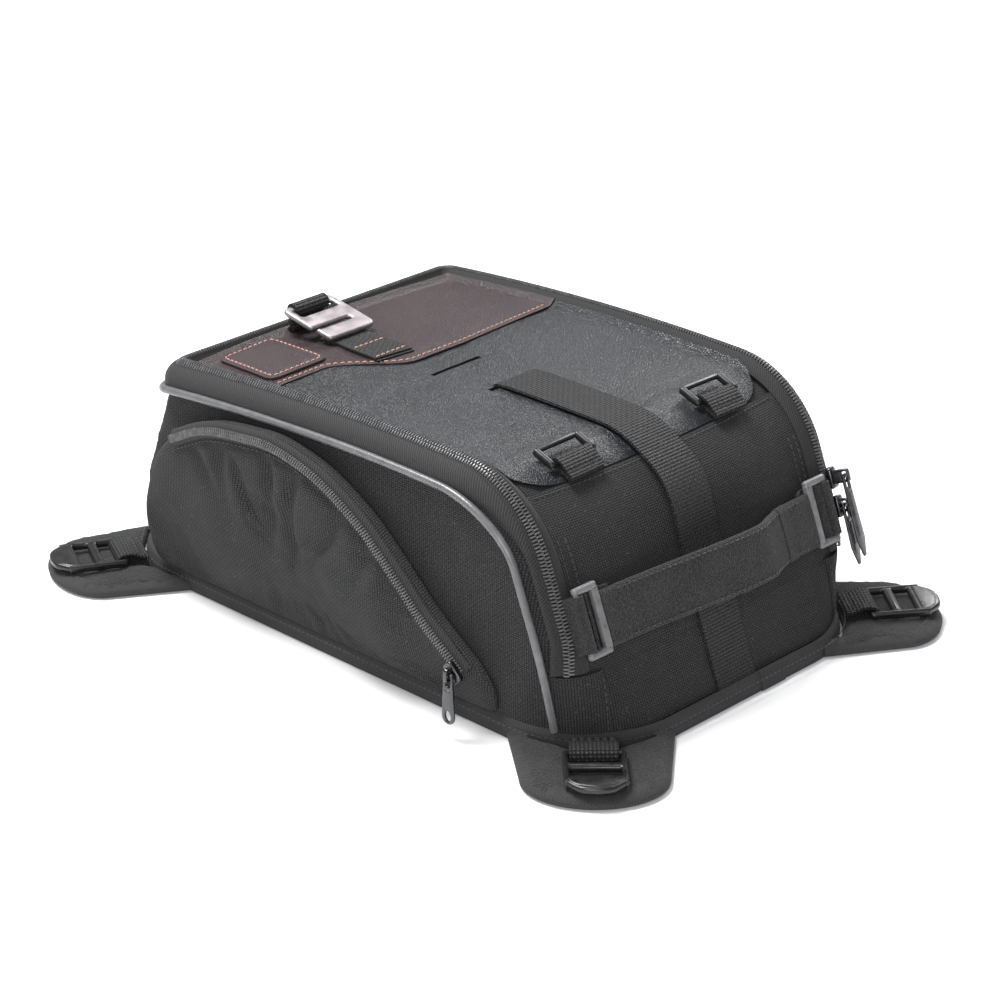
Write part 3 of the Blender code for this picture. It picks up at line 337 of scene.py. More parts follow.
def leather_material(name, dark, light, rough, grain=1.0):
    n = Nodes(name, light, rough, specular=0.42)
    pores = n.voronoi(720, "DISTANCE_TO_EDGE")
    fine = n.noise(1600, 3)
    folds = n.noise(95, 4, 0.62)
    patch = n.noise(18, 3)
    level = plus(n, n.math("MULTIPLY", folds, 0.35), n.math("MULTIPLY", patch, 0.65))
    shade(n, level, dark, light, 0.25, 0.75)
    wear = plus(n, patch, n.math("MULTIPLY", fine, 0.4))
    n.put("Roughness", n.range(wear, 0.4, 1.0, rough - 0.07, rough + 0.10))
    height = plus(n, n.math("MULTIPLY", n.math("MINIMUM", pores, 0.22), 2.2 * grain),
                  n.math("MULTIPLY", fine, 0.30), n.math("MULTIPLY", folds, 0.25))
    n.bump(height, 0.6, 0.0007)
    return n.material


def plastic_material(name, base, rough, tint=(1.0, 1.0, 1.02)):
    n = Nodes(name, grey(base, tint), rough, specular=0.5)
    marks = n.noise(220, 4, 0.6)
    fine = n.noise(1800, 2)
    n.put("Roughness", n.range(marks, 0.3, 0.7, rough - 0.06, rough + 0.12))
    shade(n, marks, grey(base * 0.8, tint), grey(base * 1.25, tint), 0.3, 0.7)
    n.bump(fine, 0.12, 0.0002)
    return n.material


def metal_material(name, colour, rough):
    n = Nodes(name, colour, rough, metallic=1.0)
    marks = n.noise(140, 4, 0.6)
    fine = n.noise(1500, 3)
    shade(n, marks, tuple(c * 0.82 for c in colour), tuple(min(1, c * 1.12) for c in colour), 0.3, 0.7)
    n.put("Roughness", n.range(marks, 0.3, 0.7, rough - 0.06, rough + 0.1))
    n.bump(fine, 0.1, 0.0002)
    return n.material


def thread_material(name, colour, rough=0.6):
    n = Nodes(name, colour, rough, sheen=0.2)
    twist = n.noise(2200, 2)
    shade(n, twist, tuple(c * 0.6 for c in colour), tuple(min(1, c * 1.2) for c in colour), 0.3, 0.7)
    n.bump(twist, 0.5, 0.0003)
    return n.material


def piping_material(name):
    n = Nodes(name, grey(0.12), 0.36, specular=0.6)
    scuff = n.noise(160, 4)
    fine = n.noise(1500, 2)
    shade(n, scuff, grey(0.095), grey(0.140), 0.3, 0.7)
    n.put("Roughness", n.range(fine, 0.2, 0.8, 0.24, 0.38))
    n.bump(fine, 0.25, 0.0003)
    return n.material


MAT = {
    "fabric": fabric_material("ballistic_weave"),
    "pocket": fabric_material("pocket_weave", 0.019, 0.00140, 0.8),
    "twill": plain_twill_material("zipper_twill"),
    "binding": twill_material("herringbone_binding"),
    "webbing": webbing_material("block_webbing"),
    "brushed": brushed_material("brushed_loop"),
    "leather": leather_material("black_grain", (0.0085, 0.0100, 0.0125), (0.0175, 0.0200, 0.0235), 0.345),
    "brown": leather_material("brown_grain", (0.020, 0.0115, 0.013), (0.042, 0.026, 0.028), 0.40, 0.7),
    "plastic": plastic_material("satin_black_plastic", 0.010, 0.30),
    "grey_plastic": plastic_material("grey_moulding", 0.15, 0.32),
    # coil: base colour lighter grey than the dark nylon, a painted highlight on the teeth; the low roughness
    # gives real gloss
    "coil": plastic_material("nylon_coil", 0.100, 0.22),
    "slider": metal_material("black_nickel", (0.10, 0.10, 0.105), 0.28),
    "hook": metal_material("satin_alloy", (0.40, 0.36, 0.37), 0.48),
    "salmon": thread_material("salmon_thread", (0.50, 0.26, 0.20)),
    "black_thread": thread_material("black_thread", (0.022, 0.022, 0.024)),
    "piping": piping_material("grey_piping"),
    "board": plastic_material("board_black", 0.012, 0.6),
}


# ------------------------------------------------------------------ mesh builders

def piece(name, verts, faces, material, uvs=None):
    """Smooth mesh object from points in the bag's own frame; uvs are one per face corner, in metres."""
    mesh = bpy.data.meshes.new(name)
    mesh.from_pydata([Vector(v) + SHIFT for v in verts], [], faces)
    if uvs is not None:
        layer = mesh.uv_layers.new(name="UVMap")
        layer.data.foreach_set("uv", np.array(uvs, np.float32).ravel())
    mesh.materials.append(MAT[material])
    obj = bpy.data.objects.new(name, mesh)
    scene.collection.objects.link(obj)
    mesh.shade_smooth()
    mesh.set_sharp_from_angle(angle=math.radians(50))
    mesh.update()
    return obj


def settle(obj, merge=True):
    """Turns the faces out; also drops loose points and merges doubles, unless told not to."""
    bm = bmesh.new()
    bm.from_mesh(obj.data)
    if merge:
        bmesh.ops.delete(bm, geom=[v for v in bm.verts if not v.link_faces], context="VERTS")
        bmesh.ops.remove_doubles(bm, verts=bm.verts, dist=0.00001)
    bmesh.ops.recalc_face_normals(bm, faces=bm.faces)
    bm.to_mesh(obj.data)
    bm.free()
    return obj


def box_uv(obj, front=False):
    """UVs in metres from each face's own direction; front lays them along the bag's lengthwise profile."""
    mesh = obj.data
    layer = mesh.uv_layers.get("UVMap") or mesh.uv_layers.new(name="UVMap")
    count = len(mesh.vertices)
    co = np.zeros(count * 3)
    mesh.vertices.foreach_get("co", co)
    co = co.reshape(-1, 3) - np.array(SHIFT)
    loops = np.zeros(len(mesh.loops), int)
    mesh.loops.foreach_get("vertex_index", loops)
    normals = np.zeros(len(mesh.polygons) * 3)
    mesh.polygons.foreach_get("normal", normals)
    normals = np.abs(normals.reshape(-1, 3))
    totals = np.zeros(len(mesh.polygons), int)
    mesh.polygons.foreach_get("loop_total", totals)
    per_loop = np.repeat(normals, totals, axis=0)
    p = co[loops]
    along = along_u(p[:, 1], p[:, 2])
    side = (per_loop[:, 0] > 0.62)[:, None]
    if front:
        back = ((per_loop[:, 1] > 0.5) & (p[:, 1] > 0.05))[:, None]
        uv = np.where(side, p[:, [1, 2]], np.where(back, p[:, [0, 2]], np.stack([p[:, 0], along], 1)))
    else:
        flat = (per_loop[:, 2] > 0.62)[:, None]
        uv = np.where(side, p[:, [1, 2]], np.where(flat, p[:, [0, 1]], p[:, [0, 2]]))
    layer.data.foreach_set("uv", uv.astype(np.float32).ravel())
    return obj


def catmull(points, step):
    """Even points along a smooth curve through the given ones."""
    pts = [Vector(p) for p in points]
    pts = [pts[0] * 2 - pts[1]] + pts + [pts[-1] * 2 - pts[-2]]
    dense = []
    for i in range(1, len(pts) - 2):
        p0, p1, p2, p3 = pts[i - 1:i + 3]
        n = max(2, int((p2 - p1).length / (step * 0.34)))
        for k in range(n):
            t = k / n
            dense.append(0.5 * (2 * p1 + (p2 - p0) * t + (2 * p0 - 5 * p1 + 4 * p2 - p3) * t * t
                                + (3 * p1 - p0 - 3 * p2 + p3) * t ** 3))
    dense.append(pts[-2])
    return even(dense, step)


def runs(a):
    """Distance along a line of points from its first, at each point."""
    return np.concatenate([[0], np.cumsum(np.linalg.norm(np.diff(a, axis=0), axis=1))])


def even(points, step, closed=False):
    """The same line with points about a step apart."""
    a = np.array([list(Vector(p)) for p in points + points[:1 if closed else 0]])
    d = runs(a)
    s = np.linspace(0, d[-1], max(2, int(round(d[-1] / step))) + 1)
    out = np.stack([np.interp(s, d, a[:, k]) for k in range(3)], 1)
    return [Vector(p) for p in (out[:-1] if closed else out)]


def sweep(name, spine, sides, ups, profile, material, closed=False, caps=True, scale=None):
    """Carries a closed profile (x along side, y along up) down a spine; UV is (length, distance round)."""
    n, m = len(spine), len(profile)
    verts, faces, uvs = [], [], []
    for i, (p, s, u) in enumerate(zip(spine, sides, ups)):
        k = 1.0 if scale is None else scale[i]
        verts += [p + s * (x * k) + u * (y * k) for x, y in profile]
    length = [0.0]
    for a, b in zip(spine, spine[1:] + spine[:1]):
        length.append(length[-1] + (b - a).length)
    around = [0.0]
    for a, b in zip(profile, profile[1:] + profile[:1]):
        around.append(around[-1] + math.hypot(a[0] - b[0], a[1] - b[1]))
    for i in range(n if closed else n - 1):
        j = (i + 1) % n
        for k in range(m):
            q = (k + 1) % m
            faces.append((i * m + k, i * m + q, j * m + q, j * m + k))
            uvs += [(length[i], around[k]), (length[i], around[k + 1]),
                    (length[i + 1], around[k + 1]), (length[i + 1], around[k])]
    if caps and not closed:
        faces.append(tuple(range(m)))
        faces.append(tuple(reversed([(n - 1) * m + k for k in range(m)])))
        uvs += [(x, y) for x, y in profile] + [(x, y) for x, y in reversed(profile)]
    return settle(piece(name, verts, faces, material, uvs))


def frames(spine, side=None, up=None, closed=False):
    """Side and up vectors down a spine, square to it, from a fixed side or a fixed up."""
    n = len(spine)
    sides, ups = [], []
    for i in range(n):
        a = spine[(i - 1) % n] if closed or i else spine[0]
        b = spine[(i + 1) % n] if closed or i < n - 1 else spine[-1]
        t = (b - a).normalized()
        if side is not None:
            s = side[i] if isinstance(side, list) else Vector(side)
            s = (s - t * s.dot(t)).normalized()
            u = t.cross(s).normalized()
        else:
            u = up[i] if isinstance(up, list) else Vector(up)
            u = (u - t * u.dot(t)).normalized()
            s = u.cross(t).normalized()
        sides.append(s)
        ups.append(u)
    return sides, ups


def band(width, thick, lip=0.0):
    """Flat rounded section of webbing, with a slightly thicker edge."""
    w, t = width / 2, thick / 2
    e = min(t, 0.0008)
    low = [(-w, -t + e), (-w + e * 0.4, -t - lip), (-w + 0.0022, -t), (0, -t * 1.04), (w - 0.0022, -t),
           (w - e * 0.4, -t - lip), (w, -t + e)]
    return low + [(-x, -y) for x, y in low]


def webbing(name, points, side, width, thick, step, material="webbing", lip=0.0001):
    """Length of webbing along a smooth curve through points, its width along side."""
    spine = catmull(points, step)
    return sweep(name, spine, *frames(spine, side=side), band(width, thick, lip), material)


def tube(name, points, radius, material, segments=12, step=0.003, scale=None):
    spine = even(points, step)
    turns = [2 * math.pi * k / segments for k in range(segments)]
    ring = [(radius * math.cos(a), radius * math.sin(a)) for a in turns]
    return sweep(name, spine, *frames(spine, up=(0.013, 0.029, 1.0)), ring, material, scale=scale)


def sheet(name, points, thick, material, uv=None, keep=None):
    """Solid sheet about a grid of points, with walls at its edges, without the cells that keep refuses."""
    n, m = len(points), len(points[0])
    a = np.array([[list(p) for p in row] for row in points])
    nrm = np.cross(np.gradient(a, axis=1), np.gradient(a, axis=0))
    nrm /= np.linalg.norm(nrm, axis=2, keepdims=True) + 1e-12
    verts = [tuple(p) for side in (a + nrm * thick / 2, a - nrm * thick / 2) for p in side.reshape(-1, 3)]
    off, faces, edges = n * m, [], set()
    for i in range(n - 1):
        for j in range(m - 1):
            if keep is None or keep(i, j):
                quad = (i * m + j, i * m + j + 1, (i + 1) * m + j + 1, (i + 1) * m + j)
                faces += [quad, tuple(off + q for q in reversed(quad))]
                edges.update(zip(quad, quad[1:] + quad[:1]))
    faces += [(q, p, off + p, off + q) for p, q in sorted(edges) if (q, p) not in edges]
    uvs = None
    if uv is not None:
        flat = [tuple(q) for row in uv for q in row]
        uvs = [flat[k % off] for face in faces for k in face]
    return settle(piece(name, verts, faces, material, uvs))


def plate(name, outline, holes, thick, round_edge, material, place):
    """Flat plate from outlines in its own plane, with rounded edges, put in place by a matrix."""
    curve = bpy.data.curves.new(name, "CURVE")
    curve.dimensions = "2D"
    curve.fill_mode = "BOTH"
    curve.extrude = thick / 2 - round_edge
    curve.bevel_depth = round_edge
    curve.bevel_resolution = 2
    curve.offset = -round_edge
    for line in [outline] + list(holes):
        spline = curve.splines.new("POLY")
        spline.points.add(len(line) - 1)
        spline.use_cyclic_u = True
        for target, (x, y) in zip(spline.points, line):
            target.co = (x, y, 0, 1)
    drawn = bpy.data.objects.new(name + "_line", curve)
    scene.collection.objects.link(drawn)
    graph = bpy.context.evaluated_depsgraph_get()
    mesh = bpy.data.meshes.new_from_object(drawn.evaluated_get(graph))
    bpy.data.objects.remove(drawn, do_unlink=True)
    mesh.name = name
    mesh.transform(Matrix.Translation(SHIFT) @ place)
    mesh.materials.clear()
    mesh.materials.append(MAT[material])
    obj = bpy.data.objects.new(name, mesh)
    scene.collection.objects.link(obj)
    settle(obj)
    obj.data.shade_smooth()
    obj.data.set_sharp_from_angle(angle=math.radians(35))
    return box_uv(obj)


def join(obj, *others):
    """Adds other pieces' meshes to obj."""
    for other in others:
        bm = bmesh.new()
        bm.from_mesh(obj.data)
        bm.from_mesh(other.data)
        bm.to_mesh(obj.data)
        bm.free()
        bpy.data.objects.remove(other, do_unlink=True)
    return obj


def fitting(name, material, place, *plates):
    """One rigid piece from plates: each an outline, its holes, a thickness and an edge radius."""
    made = [plate(name, *args, material, place) for args in plates]
    return box_uv(join(*made))


def arc(centre, radius, a0, a1, steps):
    out = []
    for i in range(steps + 1):
        a = math.radians(a0 + (a1 - a0) * i / steps)
        out.append((centre[0] + radius * math.cos(a), centre[1] + radius * math.sin(a)))
    return out


def round_corners(points, radius, steps=4):
    """Outline with its corners rounded, each by a radius or its own."""
    out = []
    n = len(points)
    for i, p in enumerate(points):
        r = radius[i] if isinstance(radius, (list, tuple)) else radius
        a, b, c = Vector(points[i - 1]), Vector(p), Vector(points[(i + 1) % n])
        u, v = (a - b), (c - b)
        r = min(r, u.length * 0.49, v.length * 0.49)
        u, v = u.normalized(), v.normalized()
        for k in range(steps + 1):
            t = k / steps
            q = (b + u * r) * (1 - t) ** 2 + b * 2 * t * (1 - t) + (b + v * r) * t ** 2
            out.append((q.x, q.y))
    return out


def rect(x0, y0, x1, y1, radius, steps=4):
    return round_corners([(x0, y0), (x1, y0), (x1, y1), (x0, y1)], radius, steps)


def ring_quads(count, m, base=0):
    """Faces between count closed rings of m points, numbered from base."""
    pairs = [(base + k * m + j, base + k * m + (j + 1) % m) for k in range(count - 1) for j in range(m)]
    return [(a, b, b + m, a + m) for a, b in pairs]


def stations(path, ups, pitch, start, reach):
    """Places spread evenly along a line, one each pitch: point, forward, side and up."""
    a = np.array([list(p) for p in path])
    nrm = np.array([list(u) for u in ups]) if isinstance(ups, list) else np.tile(list(ups), (len(path), 1))
    d = runs(a)

    def at(table, s):
        return Vector([np.interp(s, d, table[:, k]) for k in range(3)])

    count = max(1, int(d[-1] / pitch))
    for i in range(count):
        s = (i + start) * d[-1] / count
        forward = (at(a, min(d[-1], s + reach)) - at(a, max(0, s - reach))).normalized()
        side = forward.cross(at(nrm, s).normalized()).normalized()
        yield at(a, s), forward, side, side.cross(forward)


def beads(name, solids, material):
    """Small closed solids, each through rings given by a centre and two half axes."""
    seg, verts, faces = 6, [], []
    for rings in solids:
        base = len(verts)
        for centre, wide, high in rings:
            verts += [centre + wide * math.cos(math.tau * k / seg) + high * math.sin(math.tau * k / seg)
                      for k in range(seg)]
        faces += ring_quads(len(rings), seg, base)
        faces += [tuple(base + k for k in reversed(range(seg))), tuple(range(len(verts) - seg, len(verts)))]
    return piece(name, verts, faces, material)


# rings of a stitch: place along it, girth, rise; and of a tooth: place, half width, half height, rise
STITCH = ((-0.5, 0.25, -0.7), (-0.36, 0.85, 0.1), (0.0, 1.0, 0.45), (0.36, 0.85, 0.1), (0.5, 0.25, -0.7))
TOOTH = ((-1.0, 0.22, 0.25, -0.45), (-0.9, 0.36, 0.44, -0.1), (-0.3, 0.38, 0.50, 0.02),
         (0.35, 0.36, 0.52, 0.06), (0.74, 0.27, 0.46, 0.02), (1.0, 0.19, 0.28, -0.05))


def stitches(name, points, ups, thread="black_thread", pitch=0.0036, length=0.0026, radius=0.00034,
             sink=0.0):
    """Row of thread stitches along a line of points."""
    solids = [[(p + t * (f * length) + u * (rise * radius - sink), w * (radius * girth), u * (radius * girth))
               for f, girth, rise in STITCH]
              for p, t, w, u in stations(points, ups, pitch, 0.5, 0.0006)]
    return box_uv(beads(name, solids, thread))


def teeth(name, path, ups, pitch, reach, flip):
    """One side of a zipper chain: rounded teeth that reach across the path's middle line."""
    solids = [[(p + w * (flip * reach * (0.5 * f - 0.36)) + u * (rise * pitch), t * (wide * pitch * 0.95),
                u * (high * pitch * 1.1)) for f, wide, high, rise in TOOTH]
              for p, t, w, u in stations(path, ups, pitch, 0.25 if flip > 0 else 0.75, 0.001)]
    return box_uv(settle(beads(name, solids, "coil")))


def letter(sign):
    return "r" if sign > 0 else "l"


def ride(obj, body, slot=None, *nodes):
    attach(obj, body)
    if nodes:
        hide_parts(*nodes)
    return obj


# ------------------------------------------------------------------ lines round the bag

def blend_u(u, top, front):
    return front + (top - front) * ease((u - L_NEAR) / L_ARC)


def rim(inset, lift, far_inset, front_inset=None, front_lift=None, start_z=0.0445):
    """Line round the lid opening, as in the CAD, with more points."""
    front_inset = inset if front_inset is None else front_inset
    front_lift = lift if front_lift is None else front_lift
    radius = max(0.003, 0.018 - inset)
    far = FAR_TOP_Y - far_inset
    corner_y = far - radius
    start, end = near_u(start_z), top_u(corner_y)
    us = [start + (L_NEAR - start) * i / 20 for i in range(20)]
    us += [L_NEAR + L_ARC * i / 26 for i in range(26)]
    us += [TOP_U + (end - TOP_U) * i / 70 for i in range(71)]
    side = []
    for u in us:
        x = HALF_W - blend_u(u, inset, front_inset)
        h = blend_u(u, lift, front_lift)
        y = over(u)[0]
        p = lifted(x, u, h)
        if u > TOP_U:
            p = Vector((x, y + pull(x, 0.12) * max(0.0, weight(y)), top_z(y) + h))
        side.append(p)
    half = HALF_W - inset
    corner = arc((half - radius, corner_y), radius, 0, 90, 14)
    side += [Vector((x, y, top_z(y) + lift)) for x, y in corner[1:]]
    count = 40
    last = side[-1]
    side += [Vector((last.x * (1 - k / count), last.y, last.z)) for k in range(1, count)]
    left = [Vector((-p.x, p.y, p.z)) for p in reversed(side)]
    return side + [Vector((0, last.y, last.z))] + left


def draped(out, drop):
    """Line against the wall just above the piping, with as many points as rim."""
    edge = rim(0.0010, 0.0009, 0.0003, 0.0043, 0.0010)
    corner_y = FAR_Y - FAR_LEAN * 0.118 - CROWN * ((HALF_W - R_TOP) / HALF_W) ** 2 - R_TOP
    us = [L_NEAR + L_ARC * i / 26 for i in range(26)]
    us += [TOP_U + (top_u(corner_y) - TOP_U) * i / 70 for i in range(71)]
    side = edge[:20]
    for k, u in enumerate(us):
        y, z = over(u)
        (ya, za), (yb, zb) = over(u - 0.0002), over(u + 0.0002)
        t = Vector((yb - ya, zb - za)).normalized()
        low = Vector((HALF_W + out, y + t.y * drop, z - t.x * drop))
        low.y += pull(HALF_W, z) * (1.0 if u < TOP_U else max(0.0, weight(y)))
        side.append(edge[20 + k].lerp(low, ease((u - L_NEAR) / L_ARC)))
    for i in range(1, 15):
        a = math.radians(90 * i / 14)
        y = corner_y + (R_TOP + out) * math.sin(a)
        side.append(Vector((HALF_W - R_TOP + (R_TOP + out) * math.cos(a), y, top_z(y) - drop)))
    for k in range(1, 41):
        x = (HALF_W - R_TOP) * (1 - k / 40)
        y = FAR_Y - FAR_LEAN * 0.118 - CROWN * (x / HALF_W) ** 2 + out
        side.append(Vector((x, y, top_z(y) - drop)))
    return side + [Vector((-p.x, p.y, p.z)) for p in reversed(side[:-1])]


def ribbon(name, edge_a, edge_b, thick, material, across=7, bulge=0.0, wave=0.0):
    """Tape between two lines with the same number of points, bowed out by bulge in the middle."""
    rows, uv = [], []
    length = 0.0
    for i, (a, b) in enumerate(zip(edge_a, edge_b)):
        if i:
            length += ((a + b) / 2 - (edge_a[i - 1] + edge_b[i - 1]) / 2).length
        t = edge_a[min(i + 1, len(edge_a) - 1)] - edge_a[max(i - 1, 0)]
        up = t.cross(b - a).normalized()
        up = up if up.dot(a - Vector((0, 0, 0.03))) > 0 else -up
        row = []
        for j in range(across):
            f = j / (across - 1)
            lift = bulge * 4 * f * (1 - f) + wave * noise.noise(Vector((length * 60, f * 3, 2.0)))
            row.append(a.lerp(b, f) + up * lift)
        rows.append(row)
        uv.append([(length, j / (across - 1) * (b - a).length) for j in range(across)])
    return sheet(name, rows, thick, material, uv)


def ups_between(path_a, path_b):
    out = []
    for i in range(len(path_a)):
        t = path_a[min(i + 1, len(path_a) - 1)] - path_a[max(i - 1, 0)]
        up = t.cross(path_b[i] - path_a[i]).normalized()
        out.append(up if up.dot(path_a[i] - Vector((0, 0, 0.03))) > 0 else -up)
    return out


# ------------------------------------------------------------------ soft shells

def soft_copy(node, name, material, voxel=0.0024, smooth=3, shift=-0.0002, move=None, front=True):
    """Fabric version of a CAD shell: rounded, slightly drawn in, with its own slack."""
    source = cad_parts[node]
    mesh = source.data.copy()
    obj = bpy.data.objects.new(name, mesh)
    scene.collection.objects.link(obj)
    remesh = obj.modifiers.new("remesh", "REMESH")
    remesh.mode = "VOXEL"
    remesh.voxel_size = voxel
    smoother = obj.modifiers.new("smooth", "SMOOTH")
    smoother.factor, smoother.iterations = 0.5, smooth
    bake(obj)
    mesh = obj.data
    n = len(mesh.vertices)
    co, no = np.zeros(n * 3), np.zeros(n * 3)
    mesh.vertices.foreach_get("co", co)
    mesh.vertices.foreach_get("normal", no)
    co, no = co.reshape(-1, 3), no.reshape(-1, 3)
    slack = np.array([noise.fractal(Vector(p) * 26, 0.9, 2.1, 3) for p in co])
    amount = np.full(n, shift) + slack * 0.0004
    if move is not None:
        amount = amount + move(co - np.array(SHIFT), no)
    co = co + no * amount[:, None]
    mesh.vertices.foreach_set("co", co.ravel())
    mesh.materials.clear()
    mesh.materials.append(MAT[material])
    mesh.update()
    mesh.shade_smooth()
    return box_uv(obj, front)


def bake(obj):
    """Applies an object's modifiers."""
    graph = bpy.context.evaluated_depsgraph_get()
    mesh = bpy.data.meshes.new_from_object(obj.evaluated_get(graph))
    obj.modifiers.clear()
    obj.data = mesh


def inflate(obj, pinned, pressure, cap, grow=0.0, stiffness=12.0):
    """Runs the cloth simulation on a closed pad and limits how far a point moves."""
    start = np.array([v.co for v in obj.data.vertices])
    group = obj.vertex_groups.new(name="pins")
    group.add(pinned, 1.0, "REPLACE")
    cloth = obj.modifiers.new("cloth", "CLOTH")
    cloth.settings.quality = 5
    cloth.settings.mass = 0.12
    cloth.settings.tension_stiffness = stiffness
    cloth.settings.compression_stiffness = stiffness
    cloth.settings.bending_stiffness = 0.4
    cloth.settings.use_pressure = True
    cloth.settings.uniform_pressure_force = pressure
    cloth.settings.shrink_min = -grow
    cloth.settings.effector_weights.gravity = 0.0
    if pinned:
        cloth.settings.vertex_group_mass = "pins"
    for step in range(1, 21):
        scene.frame_set(step)
    graph = bpy.context.evaluated_depsgraph_get()
    mesh = obj.evaluated_get(graph).to_mesh()
    moved = np.array([v.co for v in mesh.vertices])
    obj.modifiers.clear()
    scene.frame_set(1)
    delta = moved - start
    size = np.linalg.norm(delta, axis=1, keepdims=True)
    delta *= np.minimum(1.0, cap / np.maximum(size, 1e-9))
    obj.data.vertices.foreach_set("co", (start + delta).ravel())
    obj.data.update()
    obj.vertex_groups.clear()


def subdivide(obj, levels=1):
    modifier = obj.modifiers.new("smooth", "SUBSURF")
    modifier.levels = modifier.render_levels = levels
    bake(obj)
    obj.data.shade_smooth()
    return obj


def wall_slack(p, n):
    """Side walls swell a little between the pocket zipper and the piping; the far wall has soft dents."""
    side = (np.abs(n[:, 0]) > 0.6) & (np.abs(p[:, 0]) > 0.1135)
    y, z = p[:, 1], p[:, 2]
    swell = np.exp(-((z - (0.112 - 0.9 * (y + 0.02) ** 2)) / 0.010) ** 2)
    far = (n[:, 1] > 0.6) & (p[:, 1] > 0.12)
    ripple = np.sin(p[:, 0] * 95 + z * 30) * np.exp(-((z - 0.07) / 0.03) ** 2)
    return np.where(side, swell * 0.0007, 0.0) + np.where(far, ripple * 0.0006, 0.0)


wall_cloth = soft_copy("wall_shell", "wall_fabric", "fabric", move=wall_slack)
ride(wall_cloth, "bag", "ballistic_fabric", "wall_shell")


def lid_border(p, n):
    """Draws the lid's cloth in where the zipper tape lies over it."""
    border = (np.abs(p[:, 0]) > HALF_W - 0.0225) | (p[:, 1] > FAR_TOP_Y - 0.018)
    return np.where(border & (n[:, 2] > 0.2) & (p[:, 2] > 0.09), -0.0010, 0.0)


lid_cloth = soft_copy("lid_shell", "lid_fabric", "fabric", shift=-0.0004, move=lid_border)
ride(lid_cloth, "lid", "ballistic_fabric", "lid_shell")


# ------------------------------------------------------------------ front panel

def unrolled(row, us):
    """Cloth coordinates of a row of points: length across from its middle, and the given length along."""
    run = np.concatenate([[0], np.cumsum([(b - a).length for a, b in zip(row, row[1:])])])
    return [(d - run[len(row) // 2], u) for d, u in zip(run, us)]


def front_panel():
    rows, uv = [], []
    low, high = near_u(0.0095), 0.1425
    count, across = 74, 86
    for i in range(count + 1):
        u = low + (high - low) * i / count
        z = over(u)[1]
        half = 0.0985 + 0.0095 * (1 - ease((z - 0.040) / 0.008))
        row, tex = [], []
        for j in range(across + 1):
            x = half * (-1 + 2 * j / across)
            swell = 0.0006 * noise.noise(Vector((x * 22, u * 22, 4.0))) * min(1, (half - abs(x)) / 0.012)
            crease = -0.0007 * math.exp(-((z - 0.0435) / 0.0016) ** 2)
            row.append(lifted(x, u, 0.0005 + max(-0.0002, swell) + crease))
            tex.append(u)
        rows.append(row)
        uv.append(unrolled(row, tex))
    return sheet("front_panel", rows, 0.0007, "fabric", uv)


panel = front_panel()
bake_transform(panel)


def zip_end_cover(sign):
    """Fabric over the zipper's lower end, down to the base binding."""
    rows, uv = [], []
    for i in range(25):
        z = 0.0095 + 0.0335 * i / 24
        row, tex = [], []
        for j in range(19):
            x = 0.0895 + (0.0235 - 0.0035 * (1 - i / 24)) * j / 18
            edge = min(j, 18 - j) / 4
            lift = 0.0009 + 0.0009 * ease(edge) + 0.0012 * ease((z - 0.030) / 0.012) * ease(edge)
            row.append(lifted(sign * x, near_u(z), lift))
            tex.append(near_u(z))
        rows.append(row if sign > 0 else row[::-1])
        uv.append(unrolled(rows[-1], tex))
    obj = sheet("zip_end_cover_" + letter(sign), rows, 0.0008, "fabric", uv)
    ride(obj, "bag", "ballistic_fabric")
    line = [lifted(sign * 0.0912, near_u(z), 0.0024) for z in np.linspace(0.011, 0.0405, 30)]
    sewn = stitches("zip_end_stitch_" + letter(sign), line, OUT, length=0.0027, radius=0.00036)
    ride(sewn, "bag", "ballistic_fabric")


zip_end_cover(-1)
zip_end_cover(1)


# ------------------------------------------------------------------ main zipper

RIDGE, RIDGE_FRONT = 0.0052, 0.0032
PITCH, REACH = 0.0019, 0.0034


